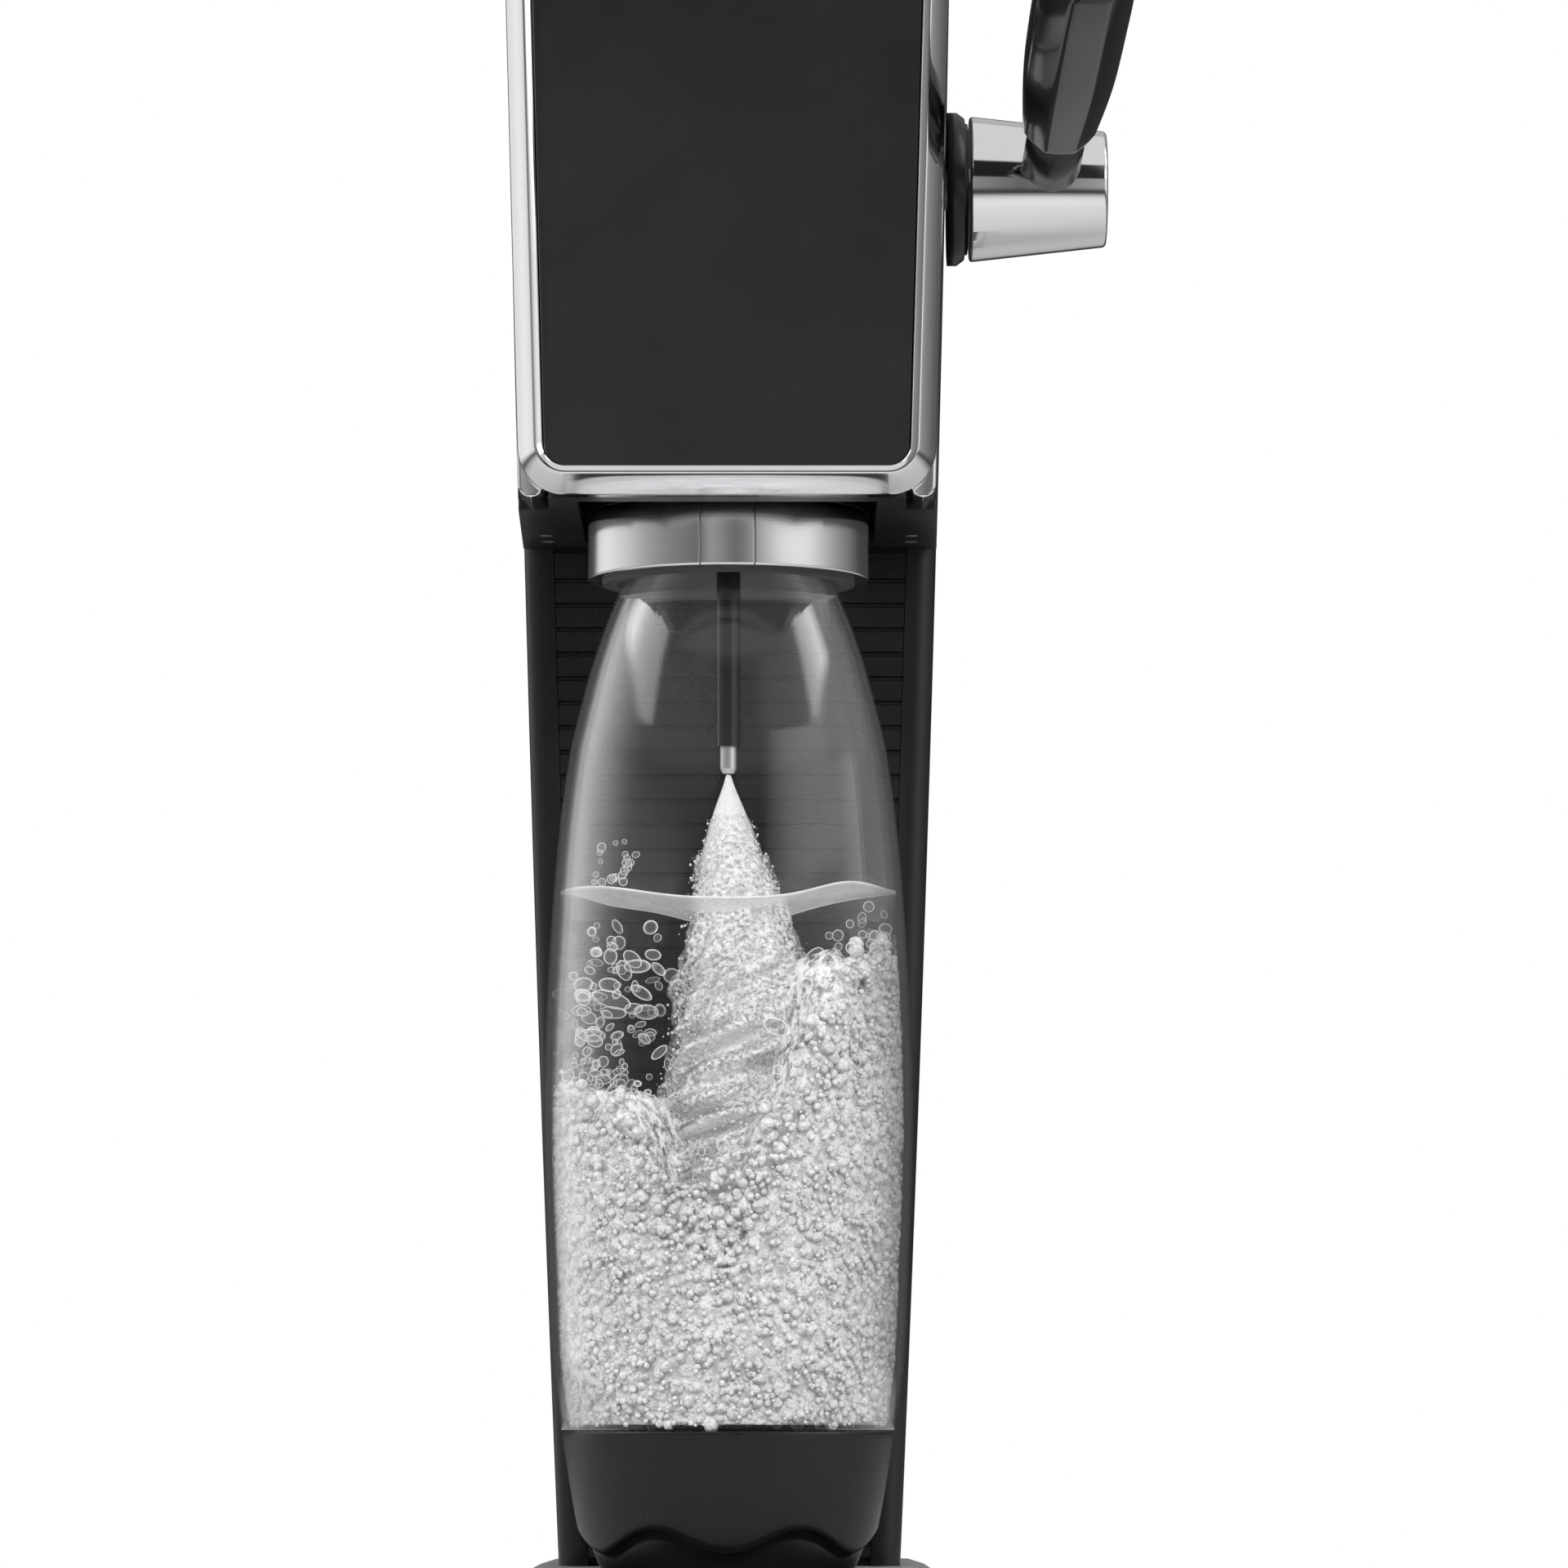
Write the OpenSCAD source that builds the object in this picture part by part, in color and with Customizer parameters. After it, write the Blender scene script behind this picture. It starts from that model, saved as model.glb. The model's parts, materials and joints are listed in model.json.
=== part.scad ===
// Lever-operated soda carbonator. A pull lever turns a crank, the crank lifts a rocker, and the rocker opens
// the valve of a gas cylinder behind the column. The gas enters the bottle through a tube in a hinged holder.
// Millimetres. +Z is up, the front faces -Y, and the origin is on the worktop under the bottle's axis.

/* [Bottle] */
// Height of the bottle from its cup's foot to its mouth
bottle_h = 262; // [215:1:320]
// Largest radius of the bottle
bottle_r = 44.7; // [40:0.1:54]
// Outer radius of the bottle's neck
neck_r = 15.5; // [14:0.1:17]
// Wall of the bottle
bottle_wall = 1.5; // [1:0.1:2.2]
// Height of the opaque cup on the bottle's foot
cup_h = 37; // [30:0.5:46]
// Wall of the cup
cup_wall = 1.7; // [1.2:0.1:2.4]
// Height of the bottle's foot above the worktop
bottle_z = 28; // [26:0.5:34]
// Drop of the bottle when it is pulled off its seal
bottle_drop = 14; // [10:0.5:16]

/* [Holder] */
// Gap between the bottle and the collar's liner
liner_gap = 1.6; // [1.2:0.1:3]
// Wall of the collar's liner
liner_wall = 4; // [3:0.1:5]
// Wall of the bright collar ring
collar_wall = 3.5; // [3:0.1:4.5]
// Height of the bright collar ring
collar_h = 17; // [14:0.5:20]
// Width of the release tab in the front of the collar
tab_w = 13.4; // [10:0.1:18]
// Radius of the gas tube
tube_r = 2.9; // [2.4:0.1:3.6]
// Radius of the holder's trunnions
trunnion_r = 3; // [2.5:0.1:4]
// Swing of the holder towards the user, in degrees
holder_swing = 14; // [8:1:14]

/* [Head] */
// Height of the head, from its underside to its top
head_h = 143; // [135:1:175]
// Wall of the plastic shells
wall = 2.5; // [2:0.1:3]
// Width of the bright frame round the front panel
frame_w = 6.2; // [5:0.1:8]
// Corner radius of the bright frame
frame_r = 11.5; // [10:0.5:14]
// How far the frame stands in front of the head shell
frame_d = 12; // [10:0.5:16]
// How far the frame's side rails run back along the head
rail_d = 22; // [16:0.5:30]
// Thickness of the glossy front panel
panel_t = 3; // [2:0.1:4]

/* [Column and base] */
// Radius of the gas cylinder
cyl_r = 30; // [26:0.5:36]
// Depth of the column housing
column_d = 70; // [66:1:84]
// Depth of the rear cover
cover_d = 53; // [50:1:66]
// Pitch of the grooves in the column's face
groove_pitch = 6.15; // [5:0.05:8]
// Height of the pedestal's top, where the column stands
base_h = 32; // [31:0.5:36]
// Radius of the pedestal's rounded edge
base_edge = 14; // [10:0.5:15]
// Half width inside the pedestal's arms, where the tray slides
bay_half_w = 51; // [48:0.5:62]
// Length of the drip tray's travel
tray_travel = 112; // [60:1:112]

/* [Lever] */
// Radius of the lever's shaft
shaft_r = 5; // [4:0.1:6]
// Radius of the lever's hub beside the head
hub_r = 17.7; // [15:0.1:20]
// Radius of the lever's hub at its outer end
hub_end_r = 13.8; // [12:0.1:16]
// Length of the lever's hub
hub_l = 33.5; // [28:0.5:40]
// Reach of the grip's end from the shaft's axis
lever_l = 129; // [110:1:155]
// Largest radius of the grip
grip_r = 11.9; // [10:0.1:13]
// Rise of the lever above the level, in degrees
lever_rise = 15; // [0:1:30]
// Lean of the lever away from the head, in degrees
lever_lean = 2.6; // [0:0.1:5]
// Throw of the crank that lifts the rocker
crank_throw = 12; // [10:0.5:13]

/* [Fits] */
// Radial clearance of a turning or sliding fit
run_fit = 0.05; // [0.02:0.01:0.1]
// Gap between pieces that move past each other
move_gap = 0.4; // [0.3:0.05:0.8]
// Gap round a fixed inset piece
inset_gap = 0.15; // [0.1:0.05:0.3]

/* [Hidden] */
$fn = 64;
EPS = 0.02;
HULL_FN = 32;
// Reach of a cut that crosses the whole width of the body
far = 120;

// Heights of the bottle, the collar and the head
bottle_top = bottle_z + bottle_h;
seal_gap = 0.2;
seal_t = 2.8;
carb_z = bottle_top + seal_gap + seal_t;
head_z = bottle_top - 5;
total_h = head_z + head_h;
collar_z = bottle_top - 19;
floor_t = 2.5;
shell_z = head_z + floor_t;
cap_t = 5;
shell_top = total_h - cap_t;

// The bottle's outline: the share of its height, and its radius as a share of the way from neck to belly
BOTTLE_CURVE = [[0.145, 0.85], [0.205, 0.925], [0.28, 0.957], [0.36, 0.986], [0.435, 1], [0.50, 0.986],
    [0.57, 0.957], [0.635, 0.92], [0.70, 0.868], [0.755, 0.803], [0.79, 0.743], [0.86, 0.575],
    [0.918, 0.375], [0.955, 0.16], [0.975, 0.035], [0.985, 0]];
CURVE_STEPS = 4;

// A smooth curve through the points p, as steps between each pair
function spline_at(p, i, t) = let (
    n = len(p) - 1,
    a = p[max(i - 1, 0)], b = p[i], c = p[min(i + 1, n)], d = p[min(i + 2, n)])
    0.5 * (2 * b + (c - a) * t + (2 * a - 5 * b + 4 * c - d) * t * t + (3 * b - a - 3 * c + d) * t * t * t);
function spline(p, steps) = concat(
    [for (i = [0:len(p) - 2]) for (k = [0:steps - 1]) spline_at(p, i, k / steps)], [p[len(p) - 1]]);
// Radius and height of each point of the bottle's outline
BOTTLE_LINE = [for (q = spline(BOTTLE_CURVE, CURVE_STEPS))
    [neck_r + (bottle_r - neck_r) * min(q[1], 1), bottle_z + bottle_h * q[0]]];
// Radius of the bottle at a height
function bottle_rad(z) = lookup(z, [for (q = BOTTLE_LINE) [q[1], q[0]]]);

// The collar grows with the bottle's shoulder that it holds
collar_in = bottle_rad(collar_z) + liner_gap + liner_wall;
collar_r = collar_in + collar_wall;
ear_gap = 3.5;
ear_x = collar_r + ear_gap;
ear_t = 4;
arm_t = 4.5;
arm_x = ear_x - move_gap - arm_t;
fitting_l = 6.3;
pivot_y = 28;
pivot_z = carb_z + 9;

// The column stands just behind the bottle
bottle_gap = 3.3;
column_y = bottle_r + bottle_gap;
cyl_y = column_y + 58;
cover_y = column_y + column_d + move_gap;
rear_y = cover_y + cover_d;

// The body's half widths at three heights make the gentle curve of its sides
foot_half_w = cyl_r + 9.8 + wall;
waist_half_w = ear_x + ear_t + fitting_l + 1.2 + wall;
top_half_w = waist_half_w + 3.5;
plan_taper = 0.02;
function side(z) =
    foot_half_w * (z - head_z) * (z - total_h) / ((base_h - head_z) * (base_h - total_h))
    + waist_half_w * (z - base_h) * (z - total_h) / ((head_z - base_h) * (head_z - total_h))
    + top_half_w * (z - base_h) * (z - head_z) / ((total_h - base_h) * (total_h - head_z));
// The body narrows a little from the column to the front
function wide(z, y) = side(z) - plan_taper * max(column_y - y, 0);
LEVELS = 8;

// The head reaches over the bottle
shell_y = -(bottle_r + 5.3);
front_y = shell_y - frame_d;
rail_y = shell_y + rail_d;
frame_half_low = wide(head_z, front_y);
frame_half_top = wide(total_h, front_y);
panel_set = 2;

// The lever's shaft crosses the head above the bottle's axis
axis_z = head_z + 82.5;
flange_x = wide(axis_z, 0) + 5.4;
hub_x = flange_x + move_gap;
lever_x = hub_x + 19;
grip_start = 36;
bush_r = 8;
chassis_x = 24;
chassis_t = 3;
chassis_low = axis_z - 22;
chassis_high = axis_z + 28;
plate_y = column_y + 12;
bore_r = shaft_r + run_fit;

// The rocker lies over the crank and over the valve pin
crank_w = 8;
crank_tip_r = 3;
rocker_gap = 1.5;
rocker_h = 7;
rocker_low = axis_z + crank_tip_r + rocker_gap;
rocker_y = cyl_y - 18;
rocker_z = rocker_low + rocker_h / 2;
pin_r = 2.5;
pin_gap = 0.6;
pin_top = rocker_low - pin_gap;
block_top = pin_top - 3.4;
block_low = block_top - 17;
valve_top = block_low - 1;
handle_z = block_low + 7;
handle_r = 46;
handle_hang = 45;
arm_in = 18;
axle_r = 3;

// The pedestal
foot_h = 3;
plate_t = 2;
shell_low = foot_h + plate_t;
base_half_w = bay_half_w + 7;
base_front = -(bottle_r + 21.3);
base_front_h = 22;
base_back = rear_y - 1;
tray_z = shell_low + 0.3;
tray_top = 21;
tray_floor = 2.6;
tray_wall = 2.2;
cyl_bottom = 14;
cyl_wall = 3;
shoulder_z = valve_top - 50;
screw_r = 1.6;
head_r = 3;
head_t = 1.8;

// ---- shared shapes ----

// A shell's solid form between two depths and two heights, with rounded front and back corners
module body_form(y0, y1, z0, z1, inset, rf, rr) {
    hull() for (i = [0:LEVELS]) let (z = z0 + (z1 - EPS - z0) * i / LEVELS) for (s = [-1, 1]) {
        translate([s * (wide(z, y0) - inset - rf), y0 + rf, z]) cylinder(r = rf, h = EPS, $fn = HULL_FN);
        translate([s * (wide(z, y1) - inset - rr), y1 - rr, z]) cylinder(r = rr, h = EPS, $fn = HULL_FN);
    }
}

// A flat plate with the body's plan at height z
module body_plate(y0, y1, z, t, inset, rf, rr) {
    translate([0, 0, z]) linear_extrude(t) hull() for (s = [-1, 1]) {
        translate([s * (wide(z, y0) - inset - rf), y0 + rf]) circle(rf);
        translate([s * (wide(z, y1) - inset - rr), y1 - rr]) circle(rr);
    }
}

// The front outline of the frame and panel, drawn in by inset
module front_outline(inset) {
    hull() for (s = [-1, 1]) {
        translate([s * (frame_half_low - frame_r), head_z + frame_r]) circle(frame_r - inset);
        translate([s * (frame_half_top - frame_r), total_h - frame_r]) circle(frame_r - inset);
    }
}

// Extrudes a front outline from y0 back to y1
module back_to(y0, y1) {
    translate([0, y1, 0]) rotate([90, 0, 0]) linear_extrude(y1 - y0) children();
}

// The pedestal's rounded solid form
module base_form(grow) {
    r = base_edge + grow;
    balls = [[base_front + base_edge, base_front_h], [column_y, base_h], [base_back - base_edge, base_h]];
    intersection() {
        hull() for (s = [-1, 1]) for (q = balls) translate([s * (base_half_w - base_edge), q[0], 0]) {
            translate([0, 0, q[1] - base_edge]) sphere(r, $fn = HULL_FN);
            translate([0, 0, shell_low]) cylinder(r = r, h = EPS, $fn = HULL_FN);
        }
        box([-far, -far, shell_low], [far, 2 * far, base_h + 1]);
    }
}

// The pedestal's plan, drawn in by inset
module base_plan(inset) {
    hull() for (s = [-1, 1]) for (y = [base_front + base_edge, base_back - base_edge])
        translate([s * (base_half_w - base_edge), y]) circle(base_edge - inset);
}

// A rod along X between x0 and x1 at depth y and height z
module x_rod(x0, x1, y, z, r) {
    translate([x0, y, z]) rotate([0, 90, 0]) cylinder(r = r, h = x1 - x0);
}

// A rod along Y between y0 and y1
module y_rod(x, y0, y1, z, r) {
    translate([x, y0, z]) rotate([-90, 0, 0]) cylinder(r = r, h = y1 - y0);
}

// A box given by its two corners
module box(a, b) {
    translate(a) cube(b - a);
}

// A tube of triangles swept along the points p, which never runs along the side direction
function unit(v) = v / norm(v);
function run(p, i) = unit(p[min(i + 1, len(p) - 1)] - p[max(i - 1, 0)]);
module swept_tube(p, r, sides, across) {
    n = len(p);
    points = [for (i = [0:n - 1]) let (t = run(p, i), u = unit(cross(t, across)), v = cross(t, u))
        for (k = [0:sides - 1]) p[i] + r * (cos(360 * k / sides) * u + sin(360 * k / sides) * v)];
    walls = [for (i = [0:n - 2]) for (k = [0:sides - 1]) let (m = (k + 1) % sides)
        [i * sides + m, i * sides + k, (i + 1) * sides + k, (i + 1) * sides + m]];
    first = [for (k = [0:sides - 1]) k];
    last = [for (k = [sides - 1:-1:0]) (n - 1) * sides + k];
    polyhedron(points, concat([first], walls, [last]));
}

// ---- pedestal ----

BASE_SCREWS = [for (s = [-1, 1]) for (y = [base_front + 20, column_y + 6, base_back - 16])
    [s * (base_half_w - 3.6), y]];
base_screw_l = 8;

module base_shell() {
    color("silver") difference() {
        base_form(0);
        box([-bay_half_w, base_front - 10, 0], [bay_half_w, column_y - 2, base_h + 10]);
        box([-bay_half_w, column_y + 2, 0], [bay_half_w, base_back - 8, base_h - 3]);
        translate([0, cyl_y, 0]) cylinder(r = cyl_r + 2.5, h = base_h + 1);
        for (p = BASE_SCREWS) translate([p[0], p[1], 0]) cylinder(r = screw_r, h = shell_low + base_screw_l);
    }
}

module base_plate() {
    color("dimgray") difference() {
        translate([0, 0, foot_h]) linear_extrude(plate_t) base_plan(0.6);
        for (p = BASE_SCREWS) translate([p[0], p[1], 0]) cylinder(r = screw_r, h = shell_low + 1);
    }
}

module foot_ring() {
    color("black") linear_extrude(foot_h) difference() {
        base_plan(8);
        base_plan(13);
    }
}

module base_screws() {
    color("gray") for (p = BASE_SCREWS) translate([p[0], p[1], foot_h - head_t]) {
        cylinder(r = head_r, h = head_t);
        cylinder(r = screw_r, h = head_t + plate_t + base_screw_l);
    }
}

module drip_tray() {
    color("dimgray") difference() {
        intersection() {
            base_form(-0.3);
            box([-bay_half_w + move_gap, base_front - 1, tray_z],
                [bay_half_w - move_gap, column_y - 3, tray_top]);
        }
        box([-bay_half_w + move_gap + tray_wall, base_front + 4, tray_z + tray_floor],
            [bay_half_w - move_gap - tray_wall, column_y - 3 - tray_wall, tray_top + 10]);
    }
}

// ---- column ----

groove_inset = 7.5;
face_t = 2;
face_z = base_h + 2;
face_top = head_z - 1;
groove_d = 1;
groove_h = 1.2;
lug_y = plate_y + chassis_t;
CHASSIS_SCREWS = [for (s = [-1, 1]) for (z = [axis_z - 6, axis_z + 20]) [s * (waist_half_w - 8.5), z]];

module column_housing() {
    open_z = shell_z + 8;
    color("black") difference() {
        union() {
            difference() {
                body_form(column_y, cover_y - move_gap, base_h, shell_top, 0, 5, 1);
                body_form(column_y + wall + face_t, cover_y + 5, base_h - 1, shell_top + 1, wall, 3, 1);
            }
            intersection() {
                body_form(column_y + 1, cover_y - 1, base_h + 1, shell_top - 1, 0.5, 5, 1);
                for (s = [-1, 1]) for (q = CHASSIS_SCREWS) if (s * q[0] > 0)
                    box([min(s * (waist_half_w - 13), s * far), lug_y, q[1] - 5],
                        [max(s * (waist_half_w - 13), s * far), lug_y + 10, q[1] + 5]);
            }
        }
        translate([0, column_y + face_t, 0]) rotate([90, 0, 0]) linear_extrude(face_t + 1) face_outline(0);
        box([4.5 - waist_half_w, column_y - 1, open_z],
            [waist_half_w - 4.5, column_y + 6, total_h + 1]);
        for (q = CHASSIS_SCREWS) y_rod(q[0], lug_y - 1, lug_y + 8, q[1], screw_r);
    }
}

// The grooved face's outline, drawn in by inset
module face_outline(inset) {
    low = side(face_z) - groove_inset - inset;
    top = side(face_top) - groove_inset - inset;
    polygon([[-low, face_z + inset], [low, face_z + inset],
        [top, face_top - inset], [-top, face_top - inset]]);
}

module column_face() {
    first = face_z + 2.5;
    count = floor((face_top - 3 - first) / groove_pitch);
    color("black") difference() {
        translate([0, column_y + face_t, 0]) rotate([90, 0, 0]) linear_extrude(face_t)
            face_outline(inset_gap);
        for (i = [0:count]) let (z = first + i * groove_pitch)
            box([-waist_half_w, column_y - 1, z], [waist_half_w, column_y + groove_d, z + groove_h]);
    }
}

module cylinder_cradle() {
    z = shoulder_z - 75;
    half = side(z) - wall - 1.2;
    color("dimgray") difference() {
        box([-half, column_y + wall + face_t + 1, z], [half, cyl_y + 6, z + 8]);
        translate([0, cyl_y, z - 1]) cylinder(r = cyl_r + 0.8, h = 10);
        box([-cyl_r - 0.8, cyl_y, z - 1], [cyl_r + 0.8, cyl_y + 40, z + 9]);
    }
}

// ---- head ----

module shaft_hole() {
    x_rod(chassis_x + 10, flange_x, 0, axis_z, hub_r - 2.2);
}

FRAME_SCREWS = [for (s = [-1, 1]) for (z = [head_z + 22, total_h - 26]) [s * (waist_half_w - 16), z]];
frame_boss_r = 4;

// How far the shell between the frame's rails is drawn in from the body's sides
front_in = frame_w + plan_taper * (rail_y + 5 - front_y) + 0.4;

module head_shell() {
    color("black") difference() {
        union() {
            body_form(rail_y, column_y, shell_z, shell_top, 0, 0.8, 0.8);
            body_form(shell_y, rail_y + 5, shell_z, shell_top, front_in, 3, 0.8);
        }
        body_form(rail_y + wall, column_y + 5, shell_z - 1, shell_top + 1, wall, 0.8, 0.8);
        body_form(shell_y + wall, rail_y + 9, shell_z - 1, shell_top + 1, front_in + wall, 2, 0.8);
        shaft_hole();
        for (q = FRAME_SCREWS) y_rod(q[0], shell_y - 1, shell_y + wall + 1, q[1], screw_r);
    }
}

module head_floor() {
    color("black") difference() {
        union() {
            body_plate(rail_y, column_y - 0.1, head_z, floor_t, 0, 0.8, 0.8);
            body_plate(shell_y, rail_y + 5, head_z, floor_t, front_in, 3, 0.8);
        }
        box([-collar_r - 1.5, shell_y + 8, head_z - 1], [collar_r + 1.5, collar_r + 3, shell_z + 1]);
        for (p = BRACKET_SCREWS) translate([p[0], p[1], head_z - 1]) cylinder(r = screw_r, h = floor_t + 2);
    }
}

module head_top() {
    color("black") hull() {
        for (q = [[0, 0], [cap_t - 2, 0.6], [cap_t - 0.6, 2], [cap_t - EPS, 5]])
            body_plate(shell_y + q[1], cover_y - move_gap, shell_top + q[0], EPS, q[1], 3, 1);
    }
}

module chrome_frame() {
    color("gainsboro") difference() {
        union() {
            back_to(front_y, shell_y) difference() {
                front_outline(0);
                front_outline(frame_w);
            }
            for (s = [-1, 1]) hull() {
                y_rod(s * (frame_half_low - frame_w / 2), shell_y, rail_y - 0.2,
                    head_z + frame_w / 2, frame_w / 2);
                y_rod(s * (wide(shell_top - 2, shell_y) - frame_w / 2 - 0.4), shell_y, rail_y - 0.2,
                    shell_top - frame_w / 2 - 0.2, frame_w / 2);
            }
            for (q = FRAME_SCREWS) {
                y_rod(q[0], shell_y - 6, shell_y, q[1], frame_boss_r);
                box([min(q[0], sign(q[0]) * (frame_half_low - 3)), shell_y - 5, q[1] - 2.5],
                    [max(q[0], sign(q[0]) * (frame_half_low - 3)), shell_y - 1, q[1] + 2.5]);
            }
        }
        for (q = FRAME_SCREWS) y_rod(q[0], shell_y - 5, shell_y + 1, q[1], screw_r);
    }
}

module frame_screws() {
    color("gray") for (q = FRAME_SCREWS) {
        y_rod(q[0], shell_y - 5, shell_y + wall, q[1], screw_r);
        y_rod(q[0], shell_y + wall, shell_y + wall + head_t, q[1], head_r);
    }
}

module front_panel() {
    color("black") back_to(front_y + panel_set, front_y + panel_set + panel_t)
        front_outline(frame_w + inset_gap);
}

module hub_flange() {
    groove_x = flange_x - 3.4;
    color("black") difference() {
        x_rod(wide(axis_z, 0) - 2.4, flange_x, 0, axis_z, hub_r + 1);
        body_form(rail_y + 1, column_y - 1, shell_z + 1, shell_top - 1, -0.05, 0.8, 0.8);
        x_rod(0, flange_x + 1, 0, axis_z, bush_r);
        difference() {
            x_rod(groove_x, groove_x + 0.9, 0, axis_z, hub_r + 3);
            x_rod(groove_x - 1, groove_x + 2, 0, axis_z, hub_r + 0.1);
        }
    }
}

// ---- mechanism in the head ----

module chassis() {
    color("lightsteelblue") difference() {
        union() {
            for (s = [0, 1]) mirror([s, 0, 0])
                box([chassis_x, -16, chassis_low], [chassis_x + chassis_t, cyl_y + 6, chassis_high]);
            box([-waist_half_w + 4.5, plate_y, chassis_low + 4], [waist_half_w - 4.5, lug_y, chassis_high]);
        }
        x_rod(-far, far, 0, axis_z, bush_r);
        x_rod(-far, far, rocker_y, rocker_z, pin_r);
        for (p = BLOCK_SCREWS) x_rod(-far, far, p[0], p[1], screw_r);
        for (q = CHASSIS_SCREWS) y_rod(q[0], plate_y - 1, lug_y + 1, q[1], screw_r);
        box([-8, plate_y - 1, axis_z - 12], [8, lug_y + 1, chassis_high - 5]);
        x_rod(-far, far, cyl_y, handle_z, 8);
    }
}

module chassis_screws() {
    color("gray") for (q = CHASSIS_SCREWS) {
        y_rod(q[0], plate_y, lug_y + 8, q[1], screw_r);
        y_rod(q[0], plate_y - head_t, plate_y, q[1], head_r);
    }
}

module bushing(x0, l) {
    difference() {
        x_rod(x0, x0 + l, 0, axis_z, bush_r);
        x_rod(x0 - 1, x0 + l + 1, 0, axis_z, bore_r);
    }
}

module shaft_bushings() {
    color("tan") {
        bushing(-chassis_x - chassis_t, chassis_t + 2);
        bushing(chassis_x - 2, chassis_t + 2);
        bushing(flange_x - 5, 5);
    }
}

module return_spring() {
    wire_r = 0.7;
    coil_r = 7.4;
    turns = 6;
    x0 = crank_w / 2 + 1.6;
    x1 = chassis_x - 3;
    steps = turns * 18;
    coil = [for (i = [0:steps]) let (a = 360 * turns * i / steps)
        [x0 + (x1 - x0) * i / steps, coil_r * cos(a), axis_z + coil_r * sin(a)]];
    color("gray") swept_tube(coil, wire_r, 6, [1, 0, 0]);
}

module rocker_pin() {
    color("gray") x_rod(-chassis_x - chassis_t, chassis_x + chassis_t, rocker_y, rocker_z, pin_r);
}

module rocker() {
    half = crank_w / 2;
    color("darkgray") difference() {
        union() {
            box([-half, crank_throw - 1.5, rocker_low], [half, cyl_y + 6, rocker_low + rocker_h]);
            x_rod(-half, half, rocker_y, rocker_z, pin_r + 4);
        }
        x_rod(-half - 1, half + 1, rocker_y, rocker_z, pin_r + run_fit);
        box([-half - 1, cyl_y - 4, rocker_low - 10], [half + 1, cyl_y + 7, rocker_low]);
    }
}

BLOCK_SCREWS = [for (z = [block_low + 3.5, block_top - 3.5]) [cyl_y - 14, z]];
port_x = -9;
port_z = block_low + 6;
barb_y = cyl_y - 25;

module connector_block() {
    color("dimgray") difference() {
        union() {
            box([-arm_in + 2, cyl_y - 18, block_low], [arm_in - 2, cyl_y + 14, block_top]);
            box([-chassis_x, cyl_y - 18, block_low], [chassis_x, cyl_y - 10, block_top]);
            x_rod(-chassis_x + 1, chassis_x - 1, cyl_y, handle_z, axle_r);
            y_rod(port_x, barb_y, cyl_y - 17, port_z, 2.2);
        }
        translate([0, cyl_y, block_low - 1]) cylinder(r = pin_r + run_fit, h = block_top - block_low + 2);
        for (p = BLOCK_SCREWS) x_rod(-far, -chassis_x + 6, p[0], p[1], screw_r);
        for (p = BLOCK_SCREWS) x_rod(chassis_x - 6, far, p[0], p[1], screw_r);
    }
}

module block_screws() {
    out = chassis_x + chassis_t;
    color("gray") for (p = BLOCK_SCREWS) for (s = [0, 1]) mirror([s, 0, 0]) {
        x_rod(chassis_x - 6, out, p[0], p[1], screw_r);
        x_rod(out, out + head_t, p[0], p[1], head_r);
    }
}

module valve_pin() {
    color("goldenrod") translate([0, cyl_y, 0]) {
        translate([0, 0, block_low + 3]) cylinder(r = pin_r, h = pin_top - block_low - 3);
        translate([0, 0, pin_top - 1]) cylinder(r = 3.8, h = 1);
    }
}

// The hose runs from the block's port, down in front of the cylinder, to the elbow on the holder's pivot
hose_r = 2.4;
elbow_x = -(ear_x + ear_t + fitting_l / 2 + 0.3);
HOSE_ROUTE = [[port_x, cyl_y - 18.2, port_z], [port_x, cyl_y - 24, port_z],
    [port_x - 3, cyl_y - 32, port_z - 3],
    [port_x - 12, cyl_y - 37, port_z - 16], [port_x - 21, cyl_y - 43, port_z - 30],
    [elbow_x + 4, cyl_y - 58, pivot_z + 22], [elbow_x, pivot_y + 6, pivot_z + 20],
    [elbow_x, pivot_y, pivot_z + 13], [elbow_x, pivot_y, pivot_z + 5]];

module gas_hose() {
    barb_l = 8;
    color("dimgray") difference() {
        swept_tube(spline(HOSE_ROUTE, 5), hose_r + 0.6, 10, unit([1, 0.15, -0.1]));
        y_rod(port_x, barb_y, cyl_y - 10, port_z, 2.2);
        translate([elbow_x, pivot_y, pivot_z + 3]) cylinder(r = 1.9, h = barb_l);
    }
}

module hose_fitting() {
    x0 = -(ear_x + ear_t + fitting_l);
    color("goldenrod") {
        x_rod(x0, x0 + fitting_l, pivot_y, pivot_z, 4.6);
        translate([elbow_x, pivot_y, pivot_z]) cylinder(r = 1.9, h = 11);
    }
}

BRACKET_SCREWS = [for (s = [-1, 1]) for (y = [pivot_y - 6, pivot_y + 6]) [s * (ear_x + ear_t + 3.4), y]];

module holder_brackets() {
    foot = 2.5;
    color("silver") for (s = [0, 1]) mirror([s, 0, 0]) difference() {
        union() {
            x_rod(ear_x, ear_x + ear_t, pivot_y, pivot_z, 7);
            box([ear_x, pivot_y - 7, shell_z], [ear_x + ear_t, pivot_y + 7, pivot_z]);
            box([ear_x, pivot_y - 9, shell_z], [ear_x + ear_t + 6.6, pivot_y + 9, shell_z + foot]);
        }
        x_rod(ear_x - 1, ear_x + ear_t + 1, pivot_y, pivot_z, trunnion_r + run_fit);
        for (y = [pivot_y - 6, pivot_y + 6])
            translate([ear_x + ear_t + 3.4, y, shell_z - 1]) cylinder(r = screw_r, h = foot + 2);
    }
}

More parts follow.
